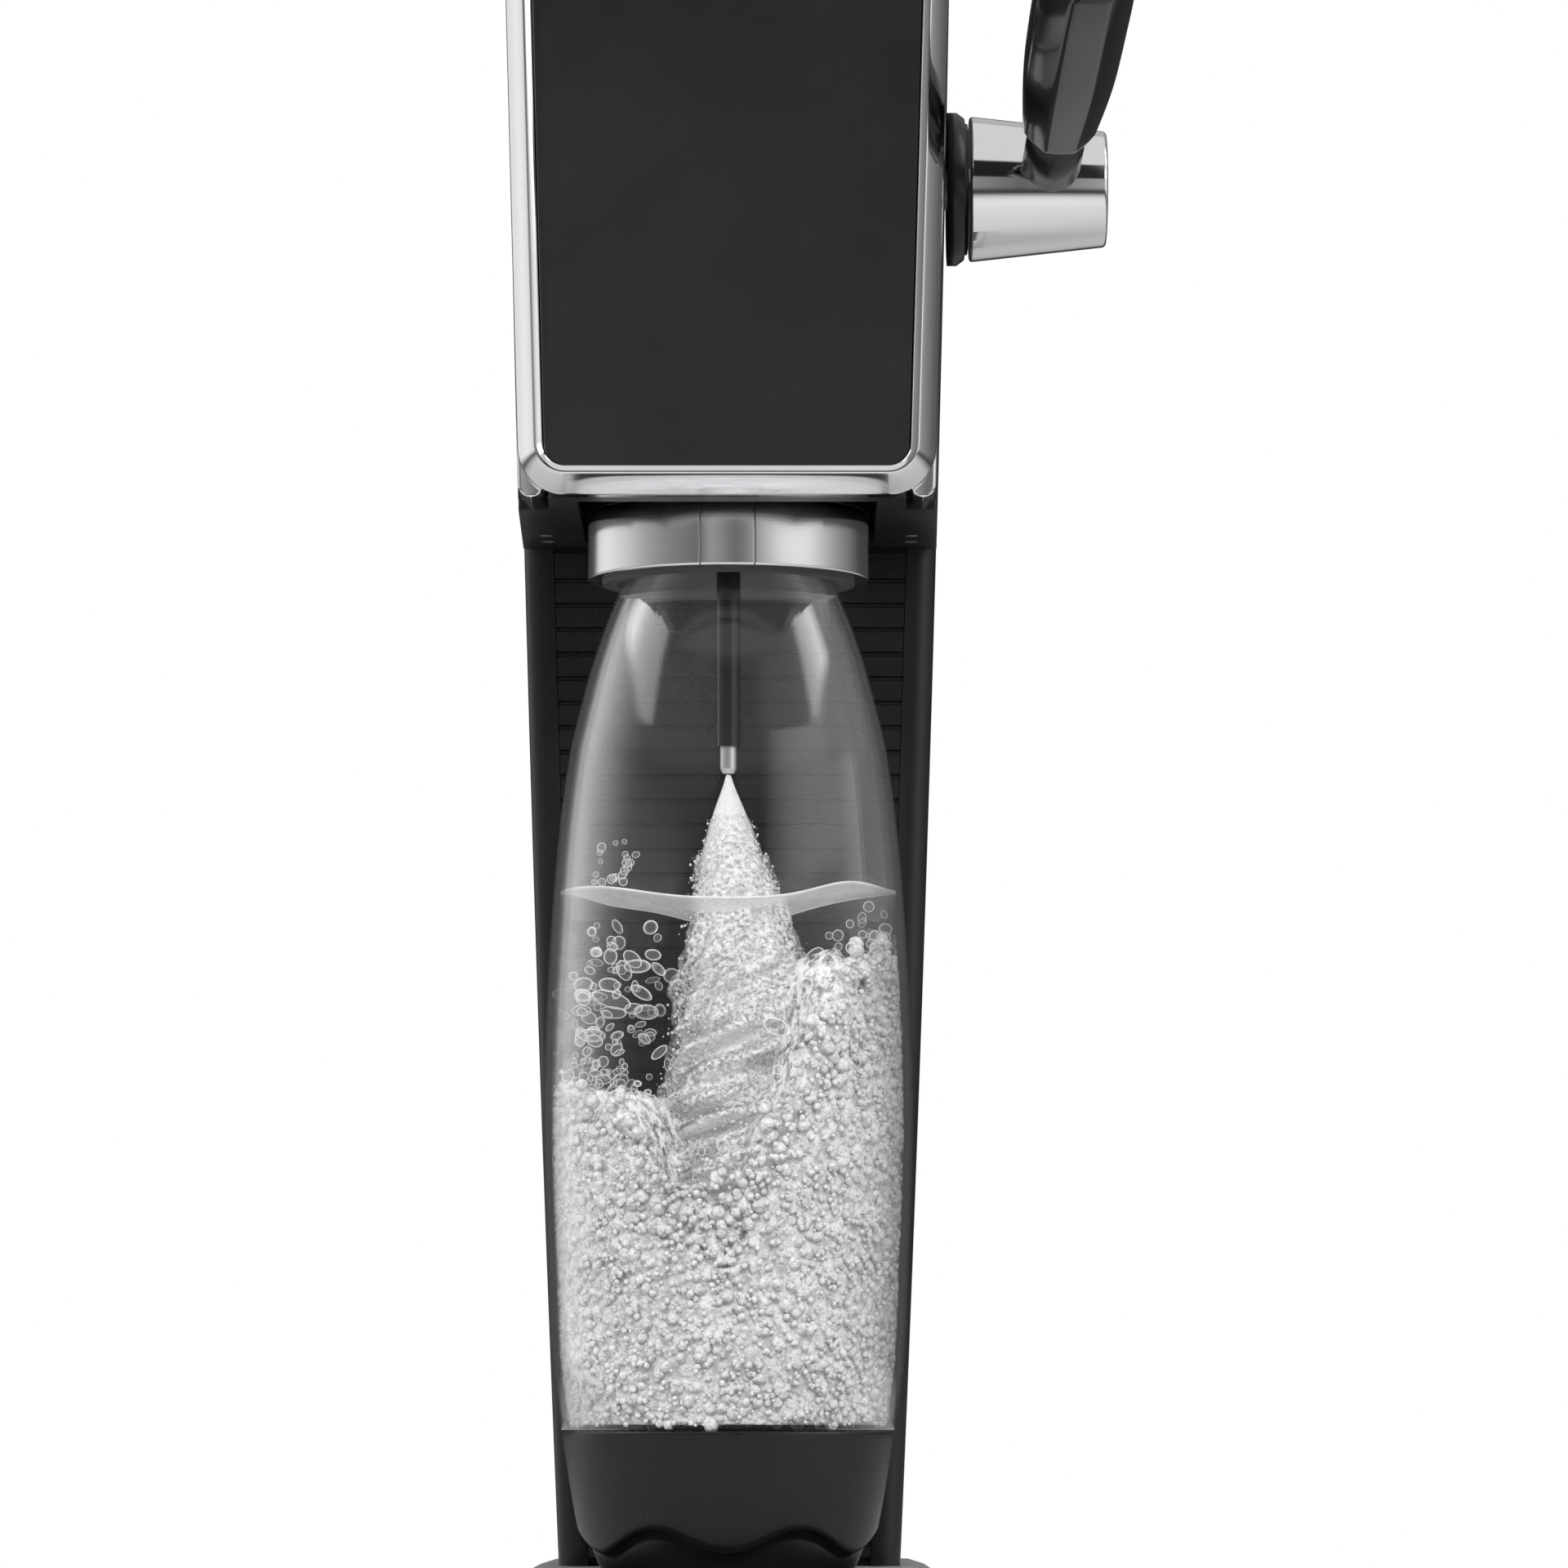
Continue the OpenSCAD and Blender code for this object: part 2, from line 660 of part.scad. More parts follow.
module bracket_screws() {
    foot = 2.5;
    color("gray") for (p = BRACKET_SCREWS) translate([p[0], p[1], 0]) {
        translate([0, 0, head_z]) cylinder(r = screw_r, h = floor_t + foot);
        translate([0, 0, shell_z + foot]) cylinder(r = head_r, h = head_t);
    }
}

// ---- lever ----

module lever_shaft() {
    color("silver") x_rod(-chassis_x - chassis_t - 3, hub_x + 12, 0, axis_z, shaft_r);
}

// Turns a shape built along +Z into the lever's direction, out of the hub
module along_lever() {
    translate([lever_x, 0, axis_z]) rotate([90 - lever_rise, 0, 0]) rotate([0, lever_lean, 0]) children();
}

neck_rad = 7.3;
neck_from = 5;

module lever_hub() {
    color("gainsboro") difference() {
        translate([hub_x, 0, axis_z]) rotate([0, 90, 0])
            cylinder(r1 = hub_r, r2 = hub_end_r + 0.3, h = hub_l - 2);
        x_rod(hub_x - 1, hub_x + 12, 0, axis_z, shaft_r);
        along_lever() translate([0, 0, neck_from]) cylinder(r = neck_rad, h = 40);
    }
}

module hub_end_cap() {
    x0 = hub_x + hub_l - 2;
    color("gainsboro") translate([x0, 0, axis_z]) rotate([0, 90, 0]) rotate_extrude()
        polygon([[0, 0], [hub_end_r + 0.2, 0], [hub_end_r + 0.2, 0.8], [hub_end_r - 0.6, 1.5],
            [hub_end_r - 3, 1.9], [0, 2]]);
}

module lever_neck() {
    color("dimgray") along_lever() translate([0, 0, neck_from])
        cylinder(r = neck_rad, h = grip_start - neck_from);
}

module lever_grip() {
    l = lever_l - grip_start;
    round_r = 6;
    arc = [for (a = [0:15:90]) [grip_r - round_r + round_r * cos(a), l - round_r + round_r * sin(a)]];
    foot = [for (a = [-90:15:0]) [grip_r - 5.5 + 3.5 * cos(a), 3.5 + 3.5 * sin(a)]];
    color("black") along_lever() translate([0, 0, grip_start]) rotate_extrude()
        polygon(concat([[0, 0]], foot, [[grip_r - 0.3, l * 0.45]], arc, [[0, l]]));
}

module crank_arm() {
    half = crank_w / 2;
    color("silver") difference() {
        union() {
            x_rod(-half, half, 0, axis_z, bush_r);
            box([-half, 0, axis_z - crank_tip_r], [half, crank_throw, axis_z + crank_tip_r]);
            x_rod(-half, half, crank_throw, axis_z, crank_tip_r);
        }
        x_rod(-half - 1, half + 1, 0, axis_z, shaft_r);
        y_rod(0, -bush_r - 1, -shaft_r + 1, axis_z, screw_r);
    }
}

module crank_screw() {
    color("dimgray") difference() {
        y_rod(0, -bush_r, -shaft_r + 0.5, axis_z, screw_r);
        x_rod(-10, 10, 0, axis_z, shaft_r);
    }
}

// ---- bottle holder ----

carb_r = 22;
carb_h = 19;
tube_low = bottle_top - 59.5;
tip_l = 6.5;

module collar_ring_form() {
    edge = 1.6;
    arc = [for (a = [0:15:90]) [collar_r - edge + edge * cos(a), collar_h - edge + edge * sin(a)]];
    translate([0, 0, collar_z]) rotate_extrude($fn = 128)
        polygon(concat([[collar_in, 0], [collar_r - 0.5, 0], [collar_r, 0.5]], arc, [[collar_in, collar_h]]));
}

module tab_cut(gap) {
    box([-tab_w / 2 - gap, -collar_r - 2, collar_z - 1], [tab_w / 2 + gap, 0, collar_z + collar_h + 1]);
}

module collar_ring() {
    color("gainsboro") difference() {
        collar_ring_form();
        tab_cut(0);
    }
}

module collar_tab() {
    color("gainsboro") intersection() {
        collar_ring_form();
        tab_cut(-0.12);
    }
}

module collar_liner() {
    low = collar_z - 1;
    steps = 6;
    inner = [for (i = [0:steps]) let (z = low + (bottle_top - 1 - low) * i / steps)
        [max(bottle_rad(z) + liner_gap, neck_r + 2), z]];
    color("black") rotate_extrude() polygon(concat(inner,
        [[neck_r + 2, carb_z], [collar_in, carb_z], [collar_in, low]]));
}

module neck_seal() {
    color("black") translate([0, 0, bottle_top + seal_gap]) difference() {
        cylinder(r = neck_r + 0.5, h = seal_t);
        translate([0, 0, -1]) cylinder(r = neck_r - 4, h = seal_t + 2);
    }
}

module carbonation_head() {
    color("dimgray") difference() {
        translate([0, 0, carb_z]) cylinder(r = carb_r, h = carb_h);
        translate([0, 0, carb_z - 1]) cylinder(r = tube_r, h = 11);
        translate([9, -8, carb_z + carb_h - 4]) cylinder(r = 3.2, h = 5);
        x_rod(-carb_r - 1, -carb_r + 5, 0, carb_z + 8, 1.6);
    }
}

module carbonation_tube() {
    color("black") translate([0, 0, tube_low]) difference() {
        cylinder(r = tube_r, h = carb_z + 10 - tube_low);
        translate([0, 0, -1]) cylinder(r = 1, h = carb_z + 20 - tube_low);
    }
}

module nozzle_tip() {
    color("silver") translate([0, 0, tube_low - tip_l]) difference() {
        rotate_extrude() polygon([[0, 0], [1.4, 0], [2, 1.2], [2, tip_l], [0, tip_l]]);
        translate([0, 0, -1]) cylinder(r = 0.5, h = tip_l + 2);
    }
}

module holder_yoke() {
    color("silver") for (s = [0, 1]) mirror([s, 0, 0]) difference() {
        union() {
            box([arm_x, -8, carb_z + 4], [arm_x + arm_t, pivot_y, carb_z + 14]);
            x_rod(arm_x, arm_x + arm_t, pivot_y, pivot_z, 6.5);
            x_rod(arm_x, ear_x + ear_t - 0.3, pivot_y, pivot_z, trunnion_r);
            box([0, -8, carb_z + 4], [arm_x + 1, 8, carb_z + 14]);
        }
        translate([0, 0, carb_z]) cylinder(r = carb_r, h = carb_h);
    }
}

module relief_valve() {
    color("goldenrod") translate([9, -8, carb_z + carb_h - 4]) {
        cylinder(r = 3.2, h = 12);
        translate([0, 0, 6]) cylinder(r = 5, h = 4, $fn = 6);
    }
}

// ---- bottle ----

cup_top = bottle_z + cup_h;
cup_gap = 0.3;
FOOT_CURVE = [[0, 0.47], [0.08, 0.56], [0.24, 0.71], [0.57, 0.86], [1, 1]];
// Radius and height of the cup's outside, which meets the bottle at its top
CUP_LINE = [for (q = spline(FOOT_CURVE, CURVE_STEPS))
    [(bottle_rad(cup_top + 1) - 0.3) * (0.55 + 0.45 * q[1]), bottle_z + cup_h * q[0]]];
function cup_rad(z) = lookup(z, [for (q = CUP_LINE) [q[1], q[0]]]);

module bottle_shell() {
    seat_r = cup_rad(cup_top) - cup_wall - cup_gap;
    bowl_low = bottle_z + 8;
    bowl = [for (a = [0:10:90]) [seat_r * sin(a), cup_top - (cup_top - bowl_low) * cos(a)]];
    body = [for (q = BOTTLE_LINE) if (q[1] > cup_top + 0.6) q];
    bowl_in = [for (a = [0:10:90]) [(seat_r - bottle_wall) * sin(a),
        cup_top + 3 - (cup_top + 3 - bowl_low - bottle_wall) * cos(a)]];
    body_in = [for (q = BOTTLE_LINE) if (q[1] > cup_top + 4) [q[0] - bottle_wall, q[1]]];
    color([0.8, 0.85, 0.9, 0.35]) rotate_extrude($fn = 96) polygon(concat(
        bowl, [[seat_r, cup_top + 0.3], [bottle_rad(cup_top + 0.6), cup_top + 0.3]], body,
        [[neck_r, bottle_top], [neck_r - bottle_wall, bottle_top]],
        [for (i = [len(body_in) - 1:-1:0]) body_in[i]],
        [for (i = [len(bowl_in) - 1:-1:0]) bowl_in[i]]));
}

module bottle_cup() {
    inner = [for (q = CUP_LINE) if (q[1] > bottle_z + 3) [q[0] - cup_wall, q[1]]];
    color("black") rotate_extrude($fn = 96) polygon(concat([[0, bottle_z + 3], [0, bottle_z]], CUP_LINE,
        [for (i = [len(inner) - 1:-1:0]) inner[i]], [[inner[0][0], bottle_z + 3]]));
}

// ---- rear cover and gas cylinder ----

button_z = total_h - 36;
button_r = 9;
cover_wall = 2.2;
corner_r = min(27, cover_d / 2 - 1);
HOOKS = [for (s = [0, 1]) for (z = [base_h + 60, head_z - 20]) [s, z]];
hook_h = 16;

module rear_cover() {
    low = base_h + 1;
    half_in = side(low) - cover_wall;
    color("black") difference() {
        body_form(cover_y, rear_y, low, total_h - 2, 0, 1, corner_r);
        body_form(cover_y - 5, rear_y - cover_wall, low + 2.5, total_h - 4.5, cover_wall, 1,
            corner_r - cover_wall);
        box([-half_in, cover_y - 1, low - 1], [half_in, cyl_y + cyl_r + 4, low + 4]);
        y_rod(0, rear_y - 10, rear_y + 1, button_z, button_r + move_gap);
    }
}

module cover_hooks() {
    color("black") for (q = HOOKS) mirror([q[0], 0, 0]) let (z = q[1]) {
        x = side(z) - cover_wall - 4.6;
        box([x, cover_y - 8, z], [x + 2.4, cover_y + 4, z + hook_h]);
        hull() for (h = [0, hook_h - EPS])
            box([x + 1, cover_y + 0.5, z + h], [side(z + h) - cover_wall - 0.1, cover_y + 4, z + h + EPS]);
    }
}

module cover_button() {
    color("dimgray") {
        y_rod(0, rear_y - 7, rear_y - 0.5, button_z, button_r);
        y_rod(0, rear_y - 9, rear_y - 6.5, button_z, button_r + 3);
    }
}

module cylinder_handle() {
    end_y = cyl_y + handle_r * cos(handle_hang);
    end_z = handle_z - handle_r * sin(handle_hang);
    arm_w = 4;
    color("hotpink") difference() {
        union() {
            for (x = [-arm_in - arm_w, arm_in]) {
                x_rod(x, x + arm_w, cyl_y, handle_z, 6);
                translate([x, cyl_y, handle_z]) rotate([-handle_hang, 0, 0])
                    translate([0.3, 4.5, -2.5]) cube([arm_w - 0.6, handle_r, 5]);
            }
            x_rod(-arm_in - 1, arm_in + 1, end_y, end_z, 2);
        }
        x_rod(-far, far, cyl_y, handle_z, axle_r + run_fit);
    }
}

module cylinder_body() {
    r = cyl_r;
    cap = [for (a = [0:10:90]) [11 + (r - 11) * cos(a), shoulder_z + 20 * sin(a)]];
    cap_in = [for (a = [90:-10:0]) [8 + (r - cyl_wall - 8) * cos(a), shoulder_z + 17 * sin(a)]];
    color("lightgray") translate([0, cyl_y, 0]) rotate_extrude($fn = 96) polygon(concat(
        [[0, cyl_bottom], [r - 6, cyl_bottom], [r, cyl_bottom + 6]], cap,
        [[11, shoulder_z + 24], [8, shoulder_z + 24]], cap_in,
        [[r - cyl_wall, cyl_bottom + 8], [r - 8, cyl_bottom + 4], [0, cyl_bottom + 4]]));
}

module cylinder_valve() {
    color("goldenrod") translate([0, cyl_y, 0]) rotate_extrude() polygon([[0, shoulder_z + 24.1],
        [11.5, shoulder_z + 24.1], [11.5, shoulder_z + 32], [9, shoulder_z + 34], [9, valve_top - 7],
        [12.5, valve_top - 6], [12.5, valve_top - 1], [11.5, valve_top], [4, valve_top],
        [4, valve_top - 3], [0, valve_top - 3]]);
}

base_shell();
base_plate();
foot_ring();
base_screws();
column_housing();
column_face();
head_shell();
head_top();
head_floor();
chrome_frame();
front_panel();
frame_screws();
hub_flange();
chassis();
chassis_screws();
shaft_bushings();
return_spring();
rocker_pin();
connector_block();
block_screws();
gas_hose();
hose_fitting();
holder_brackets();
bracket_screws();
cylinder_cradle();
lever_shaft();
lever_hub();
hub_end_cap();
lever_neck();
lever_grip();
crank_arm();
crank_screw();
rocker();
valve_pin();
collar_ring();
collar_tab();
collar_liner();
neck_seal();
carbonation_head();
carbonation_tube();
nozzle_tip();
holder_yoke();
relief_valve();
bottle_shell();
bottle_cup();
rear_cover();
cover_hooks();
cover_button();
cylinder_handle();
cylinder_body();
cylinder_valve();
drip_tray();
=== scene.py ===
# %% [markdown]
# # A lever-operated soda carbonator
# The machine stands on a pale floor in soft studio light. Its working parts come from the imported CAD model,
# which is loaded here as a fixed frame. The visible shells, the bright trim, the clear bottle and the water
# with its jet of gas are made below as numpy surfaces, because the light on glossy black and on chrome
# depends on true curves and rounded edges that a plain working model doesn't have.

# %% The frame
import math

import bpy
import numpy as np
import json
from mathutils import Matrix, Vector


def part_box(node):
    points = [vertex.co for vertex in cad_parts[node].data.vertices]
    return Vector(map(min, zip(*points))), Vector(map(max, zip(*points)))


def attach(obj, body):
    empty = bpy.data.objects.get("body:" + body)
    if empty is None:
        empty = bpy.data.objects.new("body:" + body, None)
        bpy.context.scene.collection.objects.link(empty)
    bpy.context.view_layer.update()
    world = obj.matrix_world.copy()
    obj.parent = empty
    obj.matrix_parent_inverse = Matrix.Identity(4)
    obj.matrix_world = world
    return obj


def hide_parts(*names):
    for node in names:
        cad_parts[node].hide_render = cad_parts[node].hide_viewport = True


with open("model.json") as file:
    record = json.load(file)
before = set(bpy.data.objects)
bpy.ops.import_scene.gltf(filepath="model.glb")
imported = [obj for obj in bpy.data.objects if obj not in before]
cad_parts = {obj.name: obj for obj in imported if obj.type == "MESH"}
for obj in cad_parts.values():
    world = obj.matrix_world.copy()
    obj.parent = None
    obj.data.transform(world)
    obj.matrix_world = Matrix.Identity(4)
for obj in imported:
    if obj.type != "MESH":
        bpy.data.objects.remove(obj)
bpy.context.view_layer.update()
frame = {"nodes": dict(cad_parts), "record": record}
MM = 0.001
TURN = 2 * math.pi


def span(node):
    """The lowest and highest corner of a CAD node, in millimetres."""
    low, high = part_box(node)
    return np.array(low) / MM, np.array(high) / MM


# %% [markdown]
# ## From arrays to meshes
# Every new piece is a grid of points: a shape worked out from two parameters, u along the rows and v along
# the columns. One helper turns such a grid into a mesh. It can close the grid round v, close it round u, and
# fan faces over each open end, so the piece is a closed solid. It measures the volume that the faces
# enclose, and turns them round when it is negative, so they always point outwards.

# %% A mesh from a grid


def signed_volume(points, *face_sets):
    """Sum over the faces, as fans of triangles, of the box product of their corners, over six."""
    total = 0.0
    for faces in face_sets:
        for k in range(1, faces.shape[1] - 1):
            a, b, c = points[faces[:, 0]], points[faces[:, k]], points[faces[:, k + 1]]
            total += np.einsum("ij,ij->", a, np.cross(b, c)) / 6
    return total


def add_mesh(name, points, *face_sets, material=None, smooth=True):
    """Puts points in millimetres and sets of faces of three or four corners into an object at the origin."""
    mesh = bpy.data.meshes.new(name)
    corners = np.concatenate([f.ravel() for f in face_sets]).astype(np.int32)
    sizes = np.concatenate([np.full(len(f), f.shape[1]) for f in face_sets])
    mesh.vertices.add(len(points))
    mesh.vertices.foreach_set("co", (points * MM).astype(np.float32).ravel())
    mesh.loops.add(len(corners))
    mesh.loops.foreach_set("vertex_index", corners)
    mesh.polygons.add(len(sizes))
    starts = np.concatenate([[0], np.cumsum(sizes)[:-1]]).astype(np.int32)
    mesh.polygons.foreach_set("loop_start", starts)
    mesh.polygons.foreach_set("use_smooth", np.full(len(sizes), smooth))
    mesh.update(calc_edges=True)
    obj = bpy.data.objects.new(name, mesh)
    bpy.context.scene.collection.objects.link(obj)
    if material:
        mesh.materials.append(material)
    return obj


def grid_faces(rows, cols, round_u=False, round_v=False):
    """The quads between neighbouring rows and columns, going round where a direction is closed."""
    u = np.arange(rows if round_u else rows - 1)
    v = np.arange(cols if round_v else cols - 1)
    a, b = np.meshgrid(u, v, indexing="ij")
    a2, b2 = (a + 1) % rows, (b + 1) % cols
    return np.stack([a * cols + b, a * cols + b2, a2 * cols + b2, a2 * cols + b], axis=-1).reshape(-1, 4)


def surface(name, grid, material, round_u=False, round_v=False, cap=False, smooth=True):
    """A mesh from grid[u, v]. cap closes both ends of a tube with a fan round the middle of its end row."""
    rows, cols = grid.shape[:2]
    points = grid.reshape(-1, 3)
    sets = [grid_faces(rows, cols, round_u, round_v)]
    if cap:
        points = np.vstack([points, grid[0].mean(axis=0), grid[-1].mean(axis=0)])
        v = np.arange(cols)
        w = (v + 1) % cols
        last = (rows - 1) * cols
        low = np.stack([np.full(cols, rows * cols), w, v], axis=1)
        high = np.stack([np.full(cols, rows * cols + 1), last + v, last + w], axis=1)
        sets.append(np.vstack([low, high]))
    if (cap or round_u) and signed_volume(points, *sets) < 0:
        sets = [f[:, ::-1] for f in sets]
    return add_mesh(name, points, *sets, material=material, smooth=smooth)


def settle(obj, body, slot, *replaced, bevel=0.0, wall=0.0, turn=1.0):
    """Rides a piece on a body, hides the nodes it stands for, and adds its wall and rounding. The slot is not used.
    """
    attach(obj, body)
    if replaced:
        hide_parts(*replaced)
    if wall:
        shell = obj.modifiers.new("wall", "SOLIDIFY")
        shell.thickness = wall * MM
        shell.offset = -turn
        shell.use_even_offset = True
    if bevel:
        edge = obj.modifiers.new("rounded_edges", "BEVEL")
        edge.width = bevel * MM
        edge.segments = 3
        edge.limit_method = "ANGLE"
        edge.angle_limit = math.radians(35)
    return obj


print("grid helpers are ready")

# %% [markdown]
# ## Camera
# The machine is seen from the front, a little to the right of its middle and from low down, so the bottle
# fills the picture and the head and lever run out of the top of it. A long lens keeps the column's sides
# nearly straight. The camera is tilted up and not shifted, so other views turn round the same point.

# %% The camera
camera = bpy.data.objects.new("camera", bpy.data.cameras.new("camera"))
bpy.context.scene.collection.objects.link(camera)
camera.location = (0.0135, -1.700, 0.065)
camera.rotation_euler = (math.radians(90 + 5.26), 0, 0)
camera.data.sensor_width = 36
camera.data.lens = 161.5
camera.data.dof.use_dof = False
bpy.context.scene.camera = camera
bpy.context.scene.view_settings.view_transform = "Standard"

# %% [markdown]
# ## Studio
# Chrome and gloss show the room, so the room is drawn as a chart of brightness against two angles of the
# view direction: az, the turn from the front (negative to the left), and el, the height above the horizon.
# Level with the machine there is a broad bright wall on each side and a dim front. Above that, two tall soft
# boxes stand at the sides with darkness between them, and a long narrow one stands on the right. The overhead
# box comes lower in front than at the sides. Looking straight at the backdrop gives plain white.

# %% Nodes in a line of code


class Graph:
    """A short way to add nodes to a tree: each call makes one node and returns its output."""

    def __init__(self, tree):
        self.tree = tree

    def add(self, kind, output=0, **inputs):
        node = self.tree.nodes.new(kind)
        for name, value in inputs.items():
            key = int(name[1:]) if name[0] == "_" and name[1:].isdigit() else name.replace("_", " ")
            if name.startswith("set_"):
                setattr(node, name[4:], value)
            elif isinstance(value, bpy.types.NodeSocket):
                self.tree.links.new(value, node.inputs[key])
            else:
                node.inputs[key].default_value = value
        return node.outputs[output]

    def math(self, operation, a, b=0.0, c=0.0):
        return self.add("ShaderNodeMath", set_operation=operation, _0=a, _1=b, _2=c)

    def ramp(self, value, low, high, to_low=0.0, to_high=1.0):
        """A smooth change of the value from one range to another, held at both ends."""
        return self.add("ShaderNodeMapRange", set_interpolation_type="SMOOTHSTEP", _0=value, _1=low, _2=high,
                        _3=to_low, _4=to_high)

    def table(self, value, low, high, stops, top=1.0):
        """Straight lines through the stops (place, level) as the value goes from low to high."""
        node = self.tree.nodes.new("ShaderNodeValToRGB")
        ramp = node.color_ramp
        while len(ramp.elements) < len(stops):
            ramp.elements.new(0.5)
        for element, (place, level) in zip(ramp.elements, stops):
            element.position = (place - low) / (high - low)
            element.color = (*[level / top] * 3, 1)
        share = self.add("ShaderNodeMapRange", _0=value, _1=low, _2=high, _3=0.0, _4=1.0)
        self.tree.links.new(share, node.inputs[0])
        return self.math("MULTIPLY", node.outputs[0], top)


# %% The sky
LEVEL_ROOM = [(-180, 0.04), (-146, 0.06), (-139, 0.20), (-133, 0.80), (-118, 0.95), (-92, 0.70), (-71, 0.42),
              (-53, 0.28), (-36, 0.21), (-22, 0.14), (-15, 0.40), (6, 0.14), (14, 0.22), (32, 0.55), (43, 0.82),
              (56, 0.93), (68, 0.90), (80, 0.66), (96, 0.39), (112, 0.24), (134, 0.07), (180, 0.04)]
UPPER_ROOM = [(-180, 0.5), (-122, 0.4), (-113, 2.6), (-90, 2.1), (-66, 3.2), (-61, 0.30), (-16, 0.14),
              (-5, 0.015), (22, 0.02), (33, 0.5), (70, 0.9), (74, 3.4), (98, 3.0), (104, 0.3), (180, 0.5)]
WINDOW = [(-180, 0), (28, 0), (45, 1.4), (60, 2.0), (72, 1.2), (85, 0.2), (100, 0), (180, 0)]
UPPER_FROM = [(-180, 27), (-34, 27), (-26, 11), (24, 11), (34, 27), (180, 27)]
LID_FROM = [(-180, 57), (-62, 57), (-50, 38), (60, 38), (72, 57), (180, 57)]
world = bpy.data.worlds.new("studio")
bpy.context.scene.world = world
world.use_nodes = True
world.node_tree.nodes.clear()
sky = Graph(world.node_tree)
parts = sky.tree.nodes.new("ShaderNodeSeparateXYZ")
sky.tree.links.new(sky.add("ShaderNodeTexCoord"), parts.inputs[0])
x, y, z = parts.outputs
az = sky.math("MULTIPLY", sky.math("ARCTAN2", x, sky.math("MULTIPLY", y, -1.0)), 180 / math.pi)
el = sky.math("MULTIPLY", sky.math("ARCSINE", z), 180 / math.pi)
level = sky.table(az, -180.0, 180.0, LEVEL_ROOM)
upper = sky.table(az, -180.0, 180.0, UPPER_ROOM, top=4.0)
window = sky.math("MULTIPLY", sky.table(az, -180.0, 180.0, WINDOW, top=4.0), sky.ramp(el, 11.0, 13.0))
level = sky.math("ADD", level, window)
is_upper = sky.ramp(sky.math("SUBTRACT", el, sky.table(az, -180.0, 180.0, UPPER_FROM, top=60.0)), -1.0, 1.0)
is_lid = sky.ramp(sky.math("SUBTRACT", el, sky.table(az, -180.0, 180.0, LID_FROM, top=60.0)), -2.0, 2.0)
is_low = sky.ramp(el, -14.0, -4.0, 1.0, 0.0)
room = sky.add("ShaderNodeMix", output=0, _0=is_upper, _2=level, _3=upper)
room = sky.add("ShaderNodeMix", output=0, _0=is_lid, _2=room, _3=0.72)
room = sky.add("ShaderNodeMix", output=0, _0=is_low, _2=room, _3=0.05)
seen = sky.tree.nodes.new("ShaderNodeLightPath").outputs["Is Camera Ray"]
light = sky.add("ShaderNodeMix", output=0, _0=seen, _2=room, _3=1.0)
background = sky.add("ShaderNodeBackground", Color=(1, 1, 1, 1), Strength=light)
sky.tree.links.new(background, sky.tree.nodes.new("ShaderNodeOutputWorld").inputs[0])

# %% Soft boxes


def soft_box(name, place, aim, size, power):
    """A rectangular lamp at place, turned to face aim. Sizes are in metres and power in watts."""
    lamp = bpy.data.lights.new(name, "AREA")
    lamp.shape = "RECTANGLE"
    lamp.size, lamp.size_y = size
    lamp.energy = power
    obj = bpy.data.objects.new(name, lamp)
    bpy.context.scene.collection.objects.link(obj)
    obj.location = place
    way = np.array(aim) - np.array(place)
    flat = math.hypot(way[0], way[1])
    obj.rotation_euler = (math.atan2(flat, -way[2]), 0, math.atan2(way[1], way[0]) - math.pi / 2)
    return obj


soft_box("front_box", (0.35, -1.3, 1.1), (0, 0, 0.15), (1.0, 0.8), 26).visible_glossy = False
soft_box("left_box", (-1.2, -0.9, 0.5), (0, 0, 0.2), (0.5, 1.1), 12).visible_glossy = False
print("studio: sky and 2 soft boxes")

# %% [markdown]
# ## Finishes
# Each finish is one shader whose even values sit on its own sockets. What varies over the surface comes
# from noise on Object coordinates, which are metres here, so a scale of 1000 gives grains of a millimetre.
# Moulded black plastic gets a fine spark-eroded grain, gloss gets faint waves and handling marks, and plated
# trim gets hairlines and slight changes of polish. That keeps large dark areas from looking like flat paint.

# %% A helper for opaque finishes


def blank(name):
    """A new material with no nodes yet, and the graph that its nodes are added to."""
    made = bpy.data.materials.new(name)
    made.use_nodes = True
    made.node_tree.nodes.clear()
    return made, Graph(made.node_tree)


def finish(name, color, rough, metal=0.0, coat=0.0, grain=900.0, bump=0.04, vary=0.25,
           stretch=(1, 1, 1), shift=0.2, coarse=18.0, specular=0.5):
    """A principled shader: noise at the grain's scale lifts the surface, and coarse noise varies its polish."""
    made, g = blank(name)
    place = g.add("ShaderNodeTexCoord", output="Object")
    grains = g.add("ShaderNodeMapping", Vector=place, Scale=stretch)
    fine = g.add("ShaderNodeTexNoise", Vector=grains, Scale=grain, Detail=3.0)
    wide_noise = g.add("ShaderNodeTexNoise", Vector=place, Scale=coarse, Detail=5.0, Roughness=0.6)
    mixed = g.math("ADD", g.math("MULTIPLY", wide_noise, 0.7), g.math("MULTIPLY", fine, 0.3))
    polish = g.ramp(mixed, 0.3, 0.7, max(rough * (1 - vary), 0.01), min(rough * (1 + vary), 1.0))
    shade = g.add("ShaderNodeMix", output=2, set_data_type="RGBA", Factor=g.ramp(mixed, 0.3, 0.7),
                  _6=(*[c * (1 - shift) for c in color], 1), _7=(*[min(c * (1 + shift), 1) for c in color], 1))
    relief = g.add("ShaderNodeBump", Strength=bump, Distance=0.0002, Height=fine)
    skin = g.add("ShaderNodeBsdfPrincipled", Base_Color=shade, Roughness=polish, Metallic=metal,
                 Coat_Weight=coat, Coat_Roughness=0.04, Specular_IOR_Level=specular, Normal=relief)
    g.tree.links.new(skin, g.tree.nodes.new("ShaderNodeOutputMaterial").inputs[0])
    return made


